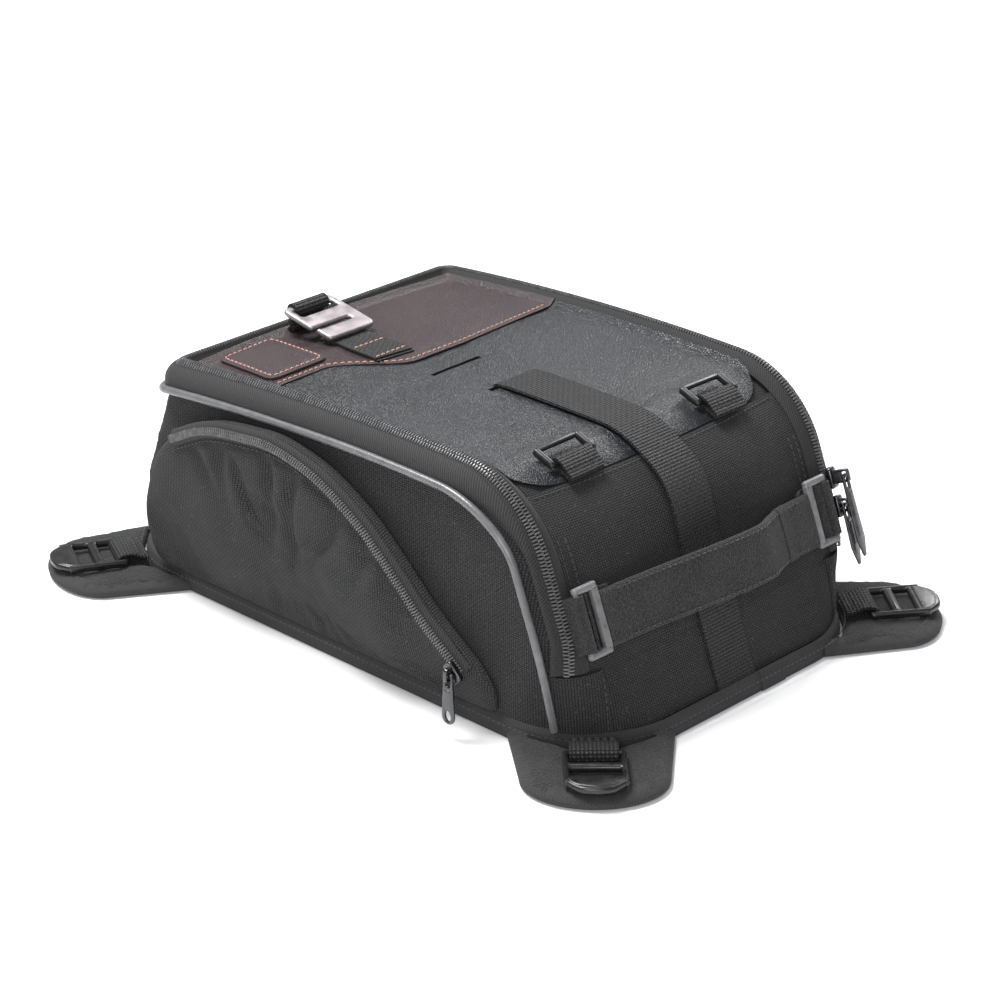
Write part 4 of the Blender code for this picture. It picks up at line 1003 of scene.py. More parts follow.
def main_zipper():
    """Tapes, facings and two rows of teeth, one half on the bag and one on the lid."""
    body_out, body_in = draped(0.0012, 0.0040), rim(0.0061, RIDGE + 0.0002, 0.0026, 0.0061, RIDGE_FRONT)
    lid_in = rim(0.0136, RIDGE + 0.0018, 0.0101, 0.0138, RIDGE_FRONT)
    lid_out = rim(0.0192, 0.0014, 0.0146, 0.0192, 0.0010)
    wide = ribbon("zipper_tape_body", body_out, body_in, 0.0009, "twill", across=13, bulge=0.0020)
    ride(wide, "bag", "tape_fabric", "zip_tape_body")
    wide = ribbon("zipper_tape_lid", lid_in, lid_out, 0.0009, "twill", bulge=0.0006)
    ride(wide, "lid", "tape_fabric", "zip_tape_lid")
    chain_body = rim(0.0082, 0.0061, 0.0047, 0.0082, 0.0045)
    chain_lid = rim(0.0115, 0.0078, 0.0080, 0.0115, 0.0045)
    middle = [(a + b) / 2 for a, b in zip(chain_body, chain_lid)]
    ups = ups_between(chain_body, chain_lid)
    # narrow tape that carries each row of teeth, below them and short of the middle
    body_lip, lid_lip = ([m + (e - m) * 0.09 - u * 0.0016 for m, e, u in zip(middle, edge, ups)]
                         for edge in (chain_body, chain_lid))
    ride(ribbon("zipper_edge_body", body_in, body_lip, 0.0008, "twill", across=5), "bag", "tape_fabric")
    ride(ribbon("zipper_edge_lid", lid_lip, lid_in, 0.0008, "twill", across=5), "lid", "tape_fabric")
    # cloth facing that closes the tape down onto each shell
    for name, body, inset, far_inset, top in (("body", "bag", 0.0076, 0.0041, 0.0051),
                                              ("lid", "lid", 0.0124, 0.0089, 0.0063)):
        foot = rim(inset, -0.0006, far_inset, inset, -0.0006)
        head = rim(inset, top, far_inset, inset, 0.0029)
        ride(ribbon("zipper_facing_" + name, foot, head, 0.0009, "twill", across=5), body, "tape_fabric")
    ride(teeth("zipper_teeth_body", middle, ups, PITCH, REACH, -1), "bag", "zip_coil", "zip_coil_body")
    ride(teeth("zipper_teeth_lid", middle, ups, PITCH, REACH, 1), "lid", "zip_coil", "zip_coil_lid")


main_zipper()


# ------------------------------------------------------------------ piping and base binding

def piping_path():
    radius = 0.0022
    out, drop = radius + 0.0005, 0.0055
    corner_y = FAR_Y - FAR_LEAN * 0.116 - CROWN - R_TOP
    low = near_u(0.012)
    us = [low + (L_NEAR - low) * i / 20 for i in range(20)]
    us += [L_NEAR + L_ARC * i / 24 for i in range(24)]
    us += [TOP_U + (top_u(corner_y) - TOP_U) * i / 50 for i in range(51)]
    side = []
    for u in us:
        y, z = over(u)
        e = 0.0002
        (ya, za), (yb, zb) = over(u - e), over(u + e)
        t = Vector((yb - ya, zb - za)).normalized()
        on_side = Vector((HALF_W + out, y + t.y * drop, z - t.x * drop))
        on_side.y += pull(HALF_W, z) * (1.0 if u < TOP_U else max(0.0, weight(y)))
        on_corner = lifted(HALF_W - 0.15 * corner_r(z) + 0.0012, u, out + 0.0005)
        f = ease((u - L_NEAR) / L_ARC)
        p = on_corner.lerp(on_side, f)
        p.x += math.sin(math.pi * f) * 0.0012
        side.append(p)
    for angle in range(0, 91, 5):
        a = math.radians(angle)
        x = HALF_W - R_TOP + (R_TOP + out) * math.cos(a)
        reach = CROWN * ((HALF_W - R_TOP) / HALF_W) ** 2
        y = FAR_Y - FAR_LEAN * 0.116 - reach - R_TOP + (R_TOP + out) * math.sin(a)
        side.append(Vector((x, y, top_z(y) - drop - 0.0015 * math.sin(a))))
    for k in range(1, 40):
        x = (HALF_W - R_TOP) * (1 - k / 40)
        y = FAR_Y - FAR_LEAN * 0.116 - CROWN * (x / HALF_W) ** 2 + out
        side.append(Vector((x, y, top_z(y) - drop - 0.0015)))
    return side + [Vector((-p.x, p.y, p.z)) for p in reversed(side)]


cord_line = even(piping_path(), 0.0025)
cord_scale = [1.0 + 0.05 * noise.noise(p * 90) for p in cord_line]
piping = tube("piping_cord_run", cord_line, 0.0022, "piping", 16, 0.0025, cord_scale)
ride(piping, "bag", "piping_cord", "piping")


def rounded_rect(half, low, high, radius, steps=14):
    out = []
    for x, y, start in ((half, high, 0), (-half, high, 90), (-half, low, 180), (half, low, 270)):
        c = (x - math.copysign(radius, x), y - radius if y == high else y + radius)
        out += arc(c, radius, start, start + 90, steps)
    return out


def grown_base(by):
    """Outline of the base, larger all round."""
    return rounded_rect(HALF_W + by, NEAR_Y - by, FAR_Y + by, R_BASE + by)


def base_tape():
    """Binding folded round the base edge, the lap where its ends meet, and its seam."""
    line = even([(x, y, 0) for x, y in grown_base(0.0014)], 0.0035, closed=True)
    section = [(-0.0011, 0.0004), (0.0028, 0.0000), (0.0042, 0.0007), (0.0049, 0.0020), (0.0048, 0.0046),
               (0.0042, 0.0074), (0.0033, 0.0100), (0.0021, 0.0111), (0.0008, 0.0104), (-0.0004, 0.0074),
               (-0.0011, 0.0034)]
    sides, ups = frames(line, up=(0, 0, 1), closed=True)
    binding = sweep("base_binding_tape", line, sides, ups, section, "binding", closed=True)
    ride(binding, "bag", "tape_fabric", "base_binding")
    lap = [Vector((0.022 + 0.0006 * k, NEAR_Y - 0.0020, 0)) for k in range(-16, 17)]
    over_section = [(x * 1.15, z * 1.03) for x, z in section]
    binding = sweep("base_binding_lap", lap, *frames(lap, up=(0, 0, 1)), over_section, "binding")
    ride(binding, "bag", "tape_fabric")
    outward = [s if s.dot(p) > 0 else -s for p, s in zip(line, sides)]
    seam = [p + Vector((0, 0, 0.0088)) + s * 0.0036 for p, s in zip(line, outward)]
    ride(stitches("base_binding_seam", seam, outward), "bag", "tape_fabric")


base_tape()
on_ground = Matrix.Translation((0, 0, 0.0016))
bottom = plate("base_fabric", grown_base(-0.0004), [], 0.0032, 0.0007, "fabric", on_ground)
ride(bottom, "bag", "ballistic_fabric", "base_panel")
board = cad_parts["base_board"].data.materials
board.clear()
board.append(MAT["board"])


# ------------------------------------------------------------------ side pockets

# the pocket's zipper on the side wall, in mm
ZIP_LINE = [(112, 99), (84, 112), (52, 117.5), (26, 118.5), (-6, 111), (-35, 96), (-52, 83), (-67, 70),
            (-82, 56.5), (-98, 45), (-112, 35)]
POCKET_BACK = HALF_W + 0.0007
POCKET_MID = Vector((0.025, 0.050))


def pocket_curve(grow, step=0.0022):
    line = [Vector((p.x, p.y)) for p in catmull([(y * MM, z * MM, 0) for y, z in ZIP_LINE], step)]
    out = []
    for i, p in enumerate(line):
        run = line[min(i + 1, len(line) - 1)] - line[max(i - 1, 0)]
        n = Vector((-run.y, run.x)).normalized()
        out.append(p + (n if n.dot(p - POCKET_MID) > 0 else -n) * grow)
    return out


def crumple(obj, folds, zip_line):
    """Folds running in from the zipper, and cloth held down under the zipper tape."""
    line = np.array([list(p) for p in zip_line])
    for v in obj.data.vertices:
        q = Vector((v.co.y - SHIFT.y, v.co.z))
        h = -v.co.x - POCKET_BACK
        gap = float(np.min(np.hypot(line[:, 0] - q.x, line[:, 1] - q.y)))
        loose = ease((h - 0.006) / 0.004)
        for o, n, depth, reach in folds:
            d, t = (q - o).cross(n), (q - o).dot(n)
            d += 0.004 * math.sin(t * 60 + o.x * 90)
            along = ease((t - 0.003) / 0.010) * (1 - ease((t - reach * 0.45) / (reach * 0.55)))
            across = math.exp(-(d / 0.0042) ** 2) - 0.45 * math.exp(-((d - 0.0085) / 0.0045) ** 2)
            h -= loose * along * depth * across
        h += loose * 0.0007 * noise.noise(Vector((q.x * 34, q.y * 34, 7.0)))
        if h > 0.002:
            h = min(h, 0.0122 + 0.0042 * ease((gap - 0.0050) / 0.0080))
        v.co.x = -(POCKET_BACK + h)
    obj.data.update()


def pocket_mesh():
    """Left pocket: a puffy face inside its zipper, closed at the back."""
    tail = [(-123.5, 26), (-124, 18), (-122, 11.5)]
    floor = [(y, 10.3) for y in (-100, -70, -40, -10, 20, 50, 80, 110)]
    heel = [(141, 11), (148, 22), (145, 45), (139, 68), (130, 87)]
    corner = [Vector((y * MM, z * MM, 0)) for y, z in tail + floor + heel]
    start = [Vector((p.x, p.y, 0)) for p in pocket_curve(0.0032)]
    rest = catmull([start[-1]] + corner + [start[0]], 0.003)
    line = even(start + rest[1:-1], 0.0029, closed=True)
    shares = (0.09, 0.13, 0.17, 0.21, 0.25, 0.30, 0.35, 0.40, 0.45, 0.50, 0.56, 0.62, 0.68, 0.74, 0.80,
              0.86, 0.91, 0.96)
    rings = [(1.0, 0.0), (0.998, 0.0035), (0.992, 0.0075), (0.975, 0.0104), (0.945, 0.0120)]
    rings += [(1 - t, 0.0120 + 0.0016 * math.sin(math.pi / 2 * min(1, (t - 0.055) / 0.6))) for t in shares]
    folds = []
    zip_line = pocket_curve(0.0)
    for f, depth, reach in ((0.07, 3.2, 46), (0.18, 2.6, 62), (0.31, 3.6, 78), (0.44, 3.8, 84),
                            (0.57, 3.4, 70), (0.70, 2.6, 48), (0.82, 1.8, 32)):
        i = int(f * (len(zip_line) - 1))
        run = (zip_line[i + 1] - zip_line[i - 1]).normalized()
        n = Vector((-run.y, run.x))
        n = n if n.dot(POCKET_MID - zip_line[i]) > 0 else -n
        folds.append((zip_line[i], n, depth * MM, reach * MM))
    verts, m = [], len(line)
    for scale, height in rings:
        for p in line:
            q = POCKET_MID + (Vector((p.x, p.y)) - POCKET_MID) * scale
            belly = 0.16 + 0.84 * ease((q.y - 0.006) / 0.046)
            verts.append(Vector((-(POCKET_BACK + height * belly), q.x, q.y)))
    faces = ring_quads(len(rings), m)
    last, front, back = len(verts) - m, len(verts), len(verts) + 1
    verts += [Vector((-(HALF_W + 0.0143), *POCKET_MID)), Vector((-POCKET_BACK, *POCKET_MID))]
    faces += [(last + j, last + (j + 1) % m, front) for j in range(m)]
    faces += [((j + 1) % m, j, back) for j in range(m)]
    obj = settle(piece("pocket_left", verts, faces, "pocket"), merge=False)
    inflate(obj, list(range(4 * m)) + [back], 3.0, 0.0030, grow=0.035)
    crumple(obj, folds, zip_line)
    subdivide(obj)
    return box_uv(obj)


def mirrored(obj, name):
    mesh = obj.data.copy()
    mesh.transform(Matrix.Scale(-1, 4, (1, 0, 0)))
    mesh.flip_normals()
    twin = bpy.data.objects.new(name, mesh)
    scene.collection.objects.link(twin)
    return twin


def pocket_sheet(offsets, heights, name, thick, material):
    lines = [pocket_curve(o) for o in offsets]
    rows, uv = [], []
    length = 0.0
    for i in range(len(lines[0])):
        if i:
            length += (lines[0][i] - lines[0][i - 1]).length
        y = lines[0][i].x
        low = 0.0006 * (1 - min(1.0, max(0.0, (y + 0.12) / 0.04)))
        rows.append([Vector((-(HALF_W + h - low), line[i].x, line[i].y)) for line, h in zip(lines, heights)])
        uv.append([(length, o) for o in offsets])
    return sheet(name, rows, thick, material, uv)


pocket = pocket_mesh()
tape = pocket_sheet((-0.0042, -0.003, -0.0015, 0.0, 0.0015, 0.003, 0.0043),
                    (0.0137, 0.0145, 0.0147, 0.0147, 0.0145, 0.0138, 0.0120),
                    "pocket_zipper_tape_left", 0.0009, "twill")
mid = [Vector((-(HALF_W + 0.0164), p.x, p.y)) for p in pocket_curve(0.0, 0.0015)]
outward = [Vector((-1, 0, 0))] * len(mid)
chain = join(teeth("pocket_zipper_teeth_left", mid, outward, 0.00165, 0.0027, 1),
             teeth("pocket_zipper_teeth_b", mid, outward, 0.00165, 0.0027, -1))
inner_seam = [Vector((-(HALF_W + 0.0136), p.x, p.y)) for p in pocket_curve(-0.0064)]
seam = stitches("pocket_stitch_left", inner_seam, outward[0], pitch=0.0034, length=0.0025, radius=0.00036)
for made, nodes, slot_name in ((pocket, "side_pocket", "ballistic_fabric"),
                               (tape, "pocket_tape", "tape_fabric"), (chain, "pocket_coil", "zip_coil"),
                               (seam, None, "ballistic_fabric")):
    twin = mirrored(made, made.name.replace("left", "right"))
    for obj, side in ((made, "left"), (twin, "right")):
        ride(obj, "bag", slot_name)
        if nodes:
            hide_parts(f"{nodes}_{side}")


# ------------------------------------------------------------------ corner flaps and their buckles

ANGLES = {"near_left": 225, "near_right": -39, "far_left": 153, "far_right": 27}
SECTOR = {"near_left": 225, "near_right": -45, "far_left": 135, "far_right": 45}
FLAP_START, FLAP_LENGTH, FLAP_BASE, FLAP_TIP = 0.0614, 0.118, 0.043, 0.038


def flap_place(name):
    x = HALF_W - R_BASE
    y = NEAR_Y + R_BASE if name.startswith("near") else FAR_Y - R_BASE
    turn = Matrix.Rotation(math.radians(ANGLES[name]), 4, "Z")
    return Matrix.Translation((-x if name.endswith("left") else x, y, 0)) @ turn


def flap_root(name, angle):
    """Distance from the base corner's centre to the binding, in the flap's own direction angle."""
    beyond = abs(angle + math.radians(ANGLES[name] - SECTOR[name])) - math.radians(45)
    return FLAP_START / math.cos(max(0.0, beyond))


def flap_outline(name, inset=0.0):
    """Sides and oval tip as one line between the root corners, and the root line back."""
    limit = math.asin((FLAP_BASE - inset) / FLAP_START)
    base, tip = FLAP_BASE - inset, FLAP_TIP - inset
    shoulder = 0.090
    reach = FLAP_LENGTH - inset - shoulder
    outer = [(flap_root(name, -limit) * math.cos(limit), -base)]
    outer += [(shoulder + reach * math.sin(a), -tip * math.cos(a)) for a in np.linspace(0, math.pi, 34)]
    outer += [(flap_root(name, limit) * math.cos(limit), base)]
    line = even([(x, y, 0) for x, y in outer], 0.003)
    root = []
    for a in np.linspace(limit, -limit, 30):
        r = flap_root(name, a) + inset * 0.2
        root.append(Vector((r * math.cos(a), r * math.sin(a), 0)))
    return line, root


def flap_pad(name):
    line, root = flap_outline(name, 0.0012)
    ring = even(line + root[1:-1], 0.0031, closed=True)
    centre = Vector((0.088, 0, 0))
    m = len(ring)
    verts = []
    levels = ((1.0, 0.0010), (1.004, 0.0024), (0.995, 0.0040), (0.97, 0.0052), (0.93, 0.0060),
              (0.87, 0.0066), (0.79, 0.0070), (0.68, 0.0072), (0.55, 0.0072), (0.42, 0.0072),
              (0.28, 0.0072), (0.14, 0.0072))
    place = flap_place(name)
    for scale, z in levels:
        for p in ring:
            q = centre + (p - centre) * scale
            lump = 0.0005 * noise.noise(Vector((q.x * 40, q.y * 40, ANGLES[name])))
            dent = 0.0018 * ease((q.x - 0.058) / 0.006) * (1 - ease((q.x - 0.080) / 0.010))
            dent *= 1 - ease((abs(q.y) - 0.0125) / 0.008)
            under_lock = 0.0019 * ease((q.x - 0.074) / 0.006) * (1 - ease((abs(q.y) - 0.0185) / 0.007))
            seat = z - max(dent, under_lock) if z > 0.005 else z
            verts.append(place @ Vector((q.x, q.y, seat + lump * (1.0 - scale * 0.6))))
    faces = ring_quads(len(levels), m)
    last = (len(levels) - 1) * m
    verts.append(place @ Vector((centre.x, 0, 0.0072)))
    faces += [(last + j, last + (j + 1) % m, len(verts) - 1) for j in range(m)]
    under = [len(verts) + k for k in range(m)]
    verts += [place @ (centre + (p - centre) * 0.97 + Vector((0, 0, 0.0004))) for p in ring]
    verts.append(place @ Vector((centre.x, 0, 0.0004)))
    faces += [(under[(j + 1) % m], under[j], len(verts) - 1) for j in range(m)]
    faces += [(j, under[j], under[(j + 1) % m], (j + 1) % m) for j in range(m)]
    obj = settle(piece("flap_pad_" + name, verts, faces, "brushed"), merge=False)
    pins = list(range(m)) + under + [len(verts) - 1]
    inflate(obj, pins, 2.0, 0.0012, grow=0.01)
    subdivide(obj)
    return box_uv(obj)


def flap_binding(name):
    """Herringbone tape folded over the flap's outer edge."""
    place = flap_place(name)
    columns = ((0.0092, 0.0062), (0.0082, 0.0065), (0.0062, 0.0064), (0.0043, 0.0060), (0.0024, 0.0052),
               (0.0008, 0.0042), (0.0, 0.0031), (0.0003, 0.0017), (0.0016, 0.0006), (0.0045, 0.0005),
               (0.0090, 0.0005))
    around = runs(np.array(columns))
    base = flap_outline(name)[0]
    n = len(base)
    inward = []
    for i, p in enumerate(base):
        t = (base[min(i + 1, n - 1)] - base[max(i - 1, 0)]).normalized()
        w = Vector((-t.y, t.x, 0))
        inward.append(w if w.dot(Vector((0.085, 0, 0)) - p) > 0 else -w)
    for _ in range(4):
        middle = [(inward[i - 1] + inward[i] * 2 + inward[i + 1]).normalized() for i in range(1, n - 1)]
        inward = inward[:1] + middle + inward[-1:]
    rows, uv, length = [], [], 0.0
    for i, p in enumerate(base):
        if i:
            length += (p - base[i - 1]).length
        ripple = 0.00025 * math.sin(length * 700)
        ripple += 0.0003 * noise.noise(Vector((length * 70, ANGLES[name], 0)))
        rows.append([place @ (p + inward[i] * d + Vector((0, 0, z + (ripple if z > 0.004 else 0))))
                     for d, z in columns])
        uv.append([(length, s) for s in around])
    obj = sheet("flap_edge_" + name, rows, 0.0008, "binding", uv)
    seam_line = [place @ (p + w * 0.0078 + Vector((0, 0, 0.0069))) for p, w in zip(base, inward)]
    return obj, stitches("flap_stitch_" + name, seam_line, Vector((0, 0, 1)), radius=0.00036)


BAR = 0.077


def lock_outline():
    half = 0.0162
    body = [(0, half), (0, -half), (0.033, -half), (0.0372, -0.0125), (0.0410, -0.0085), (0.0425, 0),
            (0.0410, 0.0085), (0.0372, 0.0125), (0.033, half)]
    body = round_corners(body, [0.0025, 0.0025, 0.003, 0.003, 0.003, 0.006, 0.003, 0.003, 0.003])
    holes = [rect(a, 0.0132, b, -0.0132, 0.0012) for a, b in ((0.0036, 0.0131), (0.0184, 0.0268))]
    return body, holes


def lock(name):
    tilt = Matrix.Rotation(math.radians(-1.5), 4, "Y")
    at = flap_place(name) @ Matrix.Translation((BAR, 0, 0.0098)) @ tilt @ Matrix.Translation((-0.0016, 0, 0))
    grip = round_corners([(0.0285, -0.0150), (0.0285, 0.0150), (0.0330, 0.0150), (0.0382, 0.0105),
                          (0.0408, 0.0), (0.0382, -0.0105), (0.0330, -0.0150)], 0.0022)
    bar = rect(0.0140, -0.0140, 0.0176, 0.0140, 0.0010)
    plates = [(*lock_outline(), 0.0038, 0.0015), (grip, [], 0.0045, 0.0016), (bar, [], 0.0044, 0.0014)]
    plates += [(rect(0.002, s * 0.0136, 0.034, s * 0.0162, 0.0009), [], 0.0045, 0.0011) for s in (-1, 1)]
    return fitting("lock_" + name, "plastic", at, *plates)


def buckle_loop(name):
    place = flap_place(name)
    loop, z = 0.0036, 0.0097
    pts = [(0.0630, 0.0062), (0.0655, 0.0060), (0.0675, z - loop + 0.0001), (0.071, z - loop)]
    pts += arc((BAR, z), loop, -80, 80, 8)
    pts += [(0.0725, z + loop), (0.0690, z + 0.0021), (0.0660, z + 0.0010), (0.0630, z + 0.0008)]
    across = place.to_3x3() @ Vector((0, 1, 0))
    pts = [place @ Vector((x, 0, h)) for x, h in pts]
    obj = webbing("buckle_loop_" + name, pts, across, 0.0252, 0.0014, 0.0014)
    rows = []
    for x, h in ((0.0652, z + 0.0026), (0.0690, z + 0.0036)):
        line = [place @ Vector((x, y, h)) for y in np.linspace(-0.0115, 0.0115, 14)]
        rows.append(stitches("buckle_sew_" + name, line, Vector((0, 0, 1))))
    return obj, join(*rows)


for name in ANGLES:
    pad = flap_pad(name)
    ride(pad, "bag", "brushed_fabric", "corner_flap_" + name)
    edge, sewn = flap_binding(name)
    ride(edge, "bag", "tape_fabric", "flap_binding_" + name)
    ride(sewn, "bag", "tape_fabric")
    loop, sewing = buckle_loop(name)
    ride(loop, "bag", "webbing", "buckle_webbing_" + name)
    ride(sewing, "bag", "webbing")
    ride(lock(name), "ladder_lock_" + name, "black_plastic", "ladder_lock_" + name)


# ------------------------------------------------------------------ leather, yoke and patch

LEATHER_HALF, LEATHER_U, LEATHER_R, LEATHER_LIFT = 0.0990, 0.143, 0.028, 0.00105
STACK = LEATHER_LIFT + 0.0023
SLOTS = ((-0.0277, 0.0096, 0.0112, 0.0142), (-0.0236, 0.0148, -0.0290, -0.0256))


def with_marks(low, high, step, marks):
    """Even numbers from low to high that also pass through the marks."""
    out, stops = [], [low] + sorted(m for m in marks if low < m < high) + [high]
    for a, b in zip(stops, stops[1:]):
        n = max(1, int(round((b - a) / step)))
        out += [a + (b - a) * k / n for k in range(n)]
    return out + [high]


def hide(name, points, thick, material, keep=None):
    """Leather sheet, sharp only where it turns by more than 60 degrees."""
    obj = sheet(name, points, thick, material, keep=keep)
    obj.data.set_sharp_from_angle(angle=math.radians(60))
    return obj


def edge_rise(x, y):
    """How far the panels climb the zipper's ridge at their sides and far end."""
    return 0.0036 * max(ease((abs(x) - 0.0940) / 0.0052), 0.95 * ease((y - FAR_TOP_Y + 0.0165) / 0.0048))


def leather_half(u):
    short = max(0.0, LEATHER_R - (u - LEATHER_U))
    return LEATHER_HALF - (LEATHER_R - math.sqrt(max(0.0, LEATHER_R ** 2 - short ** 2)))


def leather():
    marks_u = [top_u(v) for s in SLOTS for v in s[2:]]
    far_u = top_u(FAR_TOP_Y - 0.0133)
    us = [LEATHER_U + d for d in (0.0, 0.0003, 0.001, 0.002)]
    us += with_marks(LEATHER_U + 0.0035, far_u, 0.0026, marks_u)
    xs = with_marks(-1.0, 1.0, 0.027, [v / LEATHER_HALF for s in SLOTS for v in s[:2]])
    rows = []
    for u in us:
        half = leather_half(u)
        row = []
        for f in xs:
            x = f * half
            edge = min(half - abs(x), u - LEATHER_U, far_u - u)
            roll = -0.0003 * (1 - ease(edge / 0.003))
            y = over(u)[0]
            pucker = sum(math.exp(-((abs(x) - 0.0565) / 0.017) ** 2 - ((u - 0.158 - d) / 0.006) ** 2) * s
                         for d, s in ((0.010, 0.0005), (0.021, -0.0002), (0.030, 0.0003)))
            puff = 0.0005 * noise.noise(Vector((x * 24, y * 24, 1.5)))
            puff += 0.0003 * noise.noise(Vector((x * 70, y * 44, 3.5)))
            lift = LEATHER_LIFT + roll + (puff + pucker) * ease(edge / 0.010) + edge_rise(x, y)
            row.append(lifted(x, u, lift))
        rows.append(row)

    def keep(i, j):
        u, x = (us[i] + us[i + 1]) / 2, (xs[j] + xs[j + 1]) / 2 * LEATHER_HALF
        return not any(s[0] < x < s[1] and top_u(s[2]) < u < top_u(s[3]) for s in SLOTS)

    return hide("leather_panel", rows, 0.0014, "leather", keep)


ride(leather(), "lid", "black_leather", "leather_top")


def on_lid(line, lift):
    return [lifted(x, u, lift) for x, u in line], [normal_at(x, u) for x, u in line]


pts, nrm = on_lid([(x, LEATHER_U - 0.0034) for x in np.linspace(-0.093, 0.093, 120)], 0.0010)
ride(stitches("front_topstitch", pts, nrm, length=0.0027, radius=0.00038), "lid", "ballistic_fabric")
for x0 in (0.0935, 0.0885):
    for sign in (-1, 1):
        pts, nrm = on_lid([(sign * x0, u) for u in np.linspace(near_u(0.050), L_NEAR + 0.012, 50)], 0.0010)
        name = f"front_side_stitch_{int(x0 * 1e4)}_{letter(sign)}"
        ride(stitches(name, pts, nrm, length=0.0027, radius=0.00036), "lid", "ballistic_fabric")


def yoke_near(x):
    return 0.066 - 0.032 * ease((x + 0.060) / 0.042) + 0.006 * min(1.0, max(0.0, (x - 0.020) / 0.076))


def yoke():
    lift = LEATHER_LIFT + 0.0015
    far_y = FAR_TOP_Y - 0.0119
    rows = []
    xs = list(np.linspace(-1, 1, 93))
    fs = [0.0, 0.004, 0.012, 0.03] + list(np.linspace(0.06, 1.0, 44))
    for f in fs:
        row = []
        for g in xs:
            x = (LEATHER_HALF - 0.0005) * g
            y = yoke_near(x) + (far_y - yoke_near(x)) * f
            edge = min((1 - abs(g)) * LEATHER_HALF, y - yoke_near(x))
            puff = 0.0004 * noise.noise(Vector((x * 30, y * 30, 8.5)))
            h = lift - 0.0003 * (1 - ease(edge / 0.002)) + puff * ease(edge / 0.01) + edge_rise(x, y)
            row.append(lifted(x, top_u(y), h))
        rows.append(row)
    return hide("yoke_panel", rows, 0.0011, "brown")


ride(yoke(), "lid", "brown_leather", "brown_yoke")
SALMON = {"thread": "salmon", "pitch": 0.0040, "length": 0.0029, "radius": 0.00046}
line = [(x, top_u(yoke_near(x) + 0.0028)) for x in np.linspace(-0.0925, 0.0925, 150)]
pts, nrm = on_lid(line, STACK - 0.0001)
ride(stitches("yoke_stitch", pts, nrm, **SALMON), "lid", "brown_leather")

PATCH_W, PATCH_L = 0.045, 0.0545


def patch_point(a, t, lift):
    """Point of the side patch at a across and t along, both 0 to 1."""
    left, right = -0.093 + 0.007 * t, -0.093 + PATCH_W + 0.006 * t
    return lifted(left + (right - left) * a, top_u(0.073 + PATCH_L * t), lift)


def patch():
    rows, n, m, r = [], 40, 34, 0.006
    for i in range(n + 1):
        row = []
        for j in range(m + 1):
            a, t = j / m, i / n
            da, dt = min(a, 1 - a) * PATCH_W, min(t, 1 - t) * PATCH_L
            # rounded corners: the rows near each end are squeezed
            pinch = (r - math.sqrt(r * r - max(0.0, r - dt) ** 2)) / PATCH_W
            dome = 0.0006 * ease(min(da, dt) / 0.008)
            row.append(patch_point(pinch + (1 - 2 * pinch) * a, t, STACK + 0.0006 + dome))
        rows.append(row)
    return hide("patch_panel", rows, 0.0013, "brown")


def patch_seam():
    """Stitching round the patch, 3.2 mm inside its edge."""
    a0, t0 = 0.0032 / PATCH_W, 0.0032 / PATCH_L
    line = rect(a0, t0, 1 - a0, 1 - t0, 0.09, 6)
    pts = [patch_point(p[0] + (q[0] - p[0]) * k / 8, p[1] + (q[1] - p[1]) * k / 8, STACK + 0.0016)
           for p, q in zip(line, line[1:] + line[:1]) for k in range(8)]
    return stitches("patch_stitch", pts + pts[:1], Vector((0, -0.05, 1)), **SALMON)


ride(patch(), "lid", "brown_leather", "side_patch")
ride(patch_seam(), "lid", "brown_leather")


# ------------------------------------------------------------------ main strap

TRIM_X = -0.003


def strap_lift(u):
    bulge = math.exp(-((u - 0.122) / 0.026) ** 2)
    edge = min(1.0, max(0.0, (u - 0.140) / 0.018))
    return 0.0018 + 0.0019 * edge + 0.0034 * bulge


def on_strap(u):
    return skin(TRIM_X, u) + normal_at(0, u) * strap_lift(u)


def main_strap():
    end = top_u(-0.0272)
    us = list(np.arange(near_u(0.0092), end - 0.010, 0.0016)) + [end - 0.008, end - 0.004, end]
    spine = [on_strap(u) for u in us]
    n = normal_at(0, end)
    forward = (spine[-1] - spine[-2]).normalized()
    spine += [spine[-1] + forward * 0.0018 - n * 0.0012, spine[-1] + forward * 0.0024 - n * 0.0036]
    return webbing("main_strap_web", spine[::3] + spine[-1:], (1, 0, 0), 0.030, 0.0016, 0.0016)


def strap_edge(sign):
    """Loops of yarn along one edge of the strap."""
    verts, faces = [], []
    for u in np.arange(near_u(0.0100), top_u(-0.029), 0.0014):
        c = on_strap(u) + Vector((sign * 0.0150, 0, 0))
        (ya, za), (yb, zb) = over(u - 0.0003), over(u + 0.0003)
        y, n, base = Vector((0, yb - ya, zb - za)).normalized(), normal_at(0, u), len(verts)
        verts += [c + y * 0.0006, c + n * 0.0006, c - y * 0.0006, c - n * 0.0006,
                  c + Vector((sign * 0.0005, 0, 0)), c - Vector((sign * 0.0008, 0, 0))]
        for a, b in ((0, 1), (1, 2), (2, 3), (3, 0)):
            faces += [(base + a, base + b, base + 4), (base + b, base + a, base + 5)]
    return box_uv(settle(piece("main_strap_edge_" + letter(sign), verts, faces, "webbing")), True)


web = main_strap()
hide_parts("main_strap", "strap_tail")
for obj in (web, strap_edge(-1), strap_edge(1)):
    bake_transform(obj)


# ------------------------------------------------------------------ lashing tabs and loops

def basis(x, y, z):
    """Rotation to three square directions."""
    return Matrix((x, y, z)).transposed().to_4x4()


def frame_at(x, u, lift):
    n = normal_at(x, u)
    along = n.cross(Vector((1, 0, 0))).normalized()
    return Matrix.Translation(lifted(x, u, lift)) @ basis(along.cross(n).normalized(), along, n)


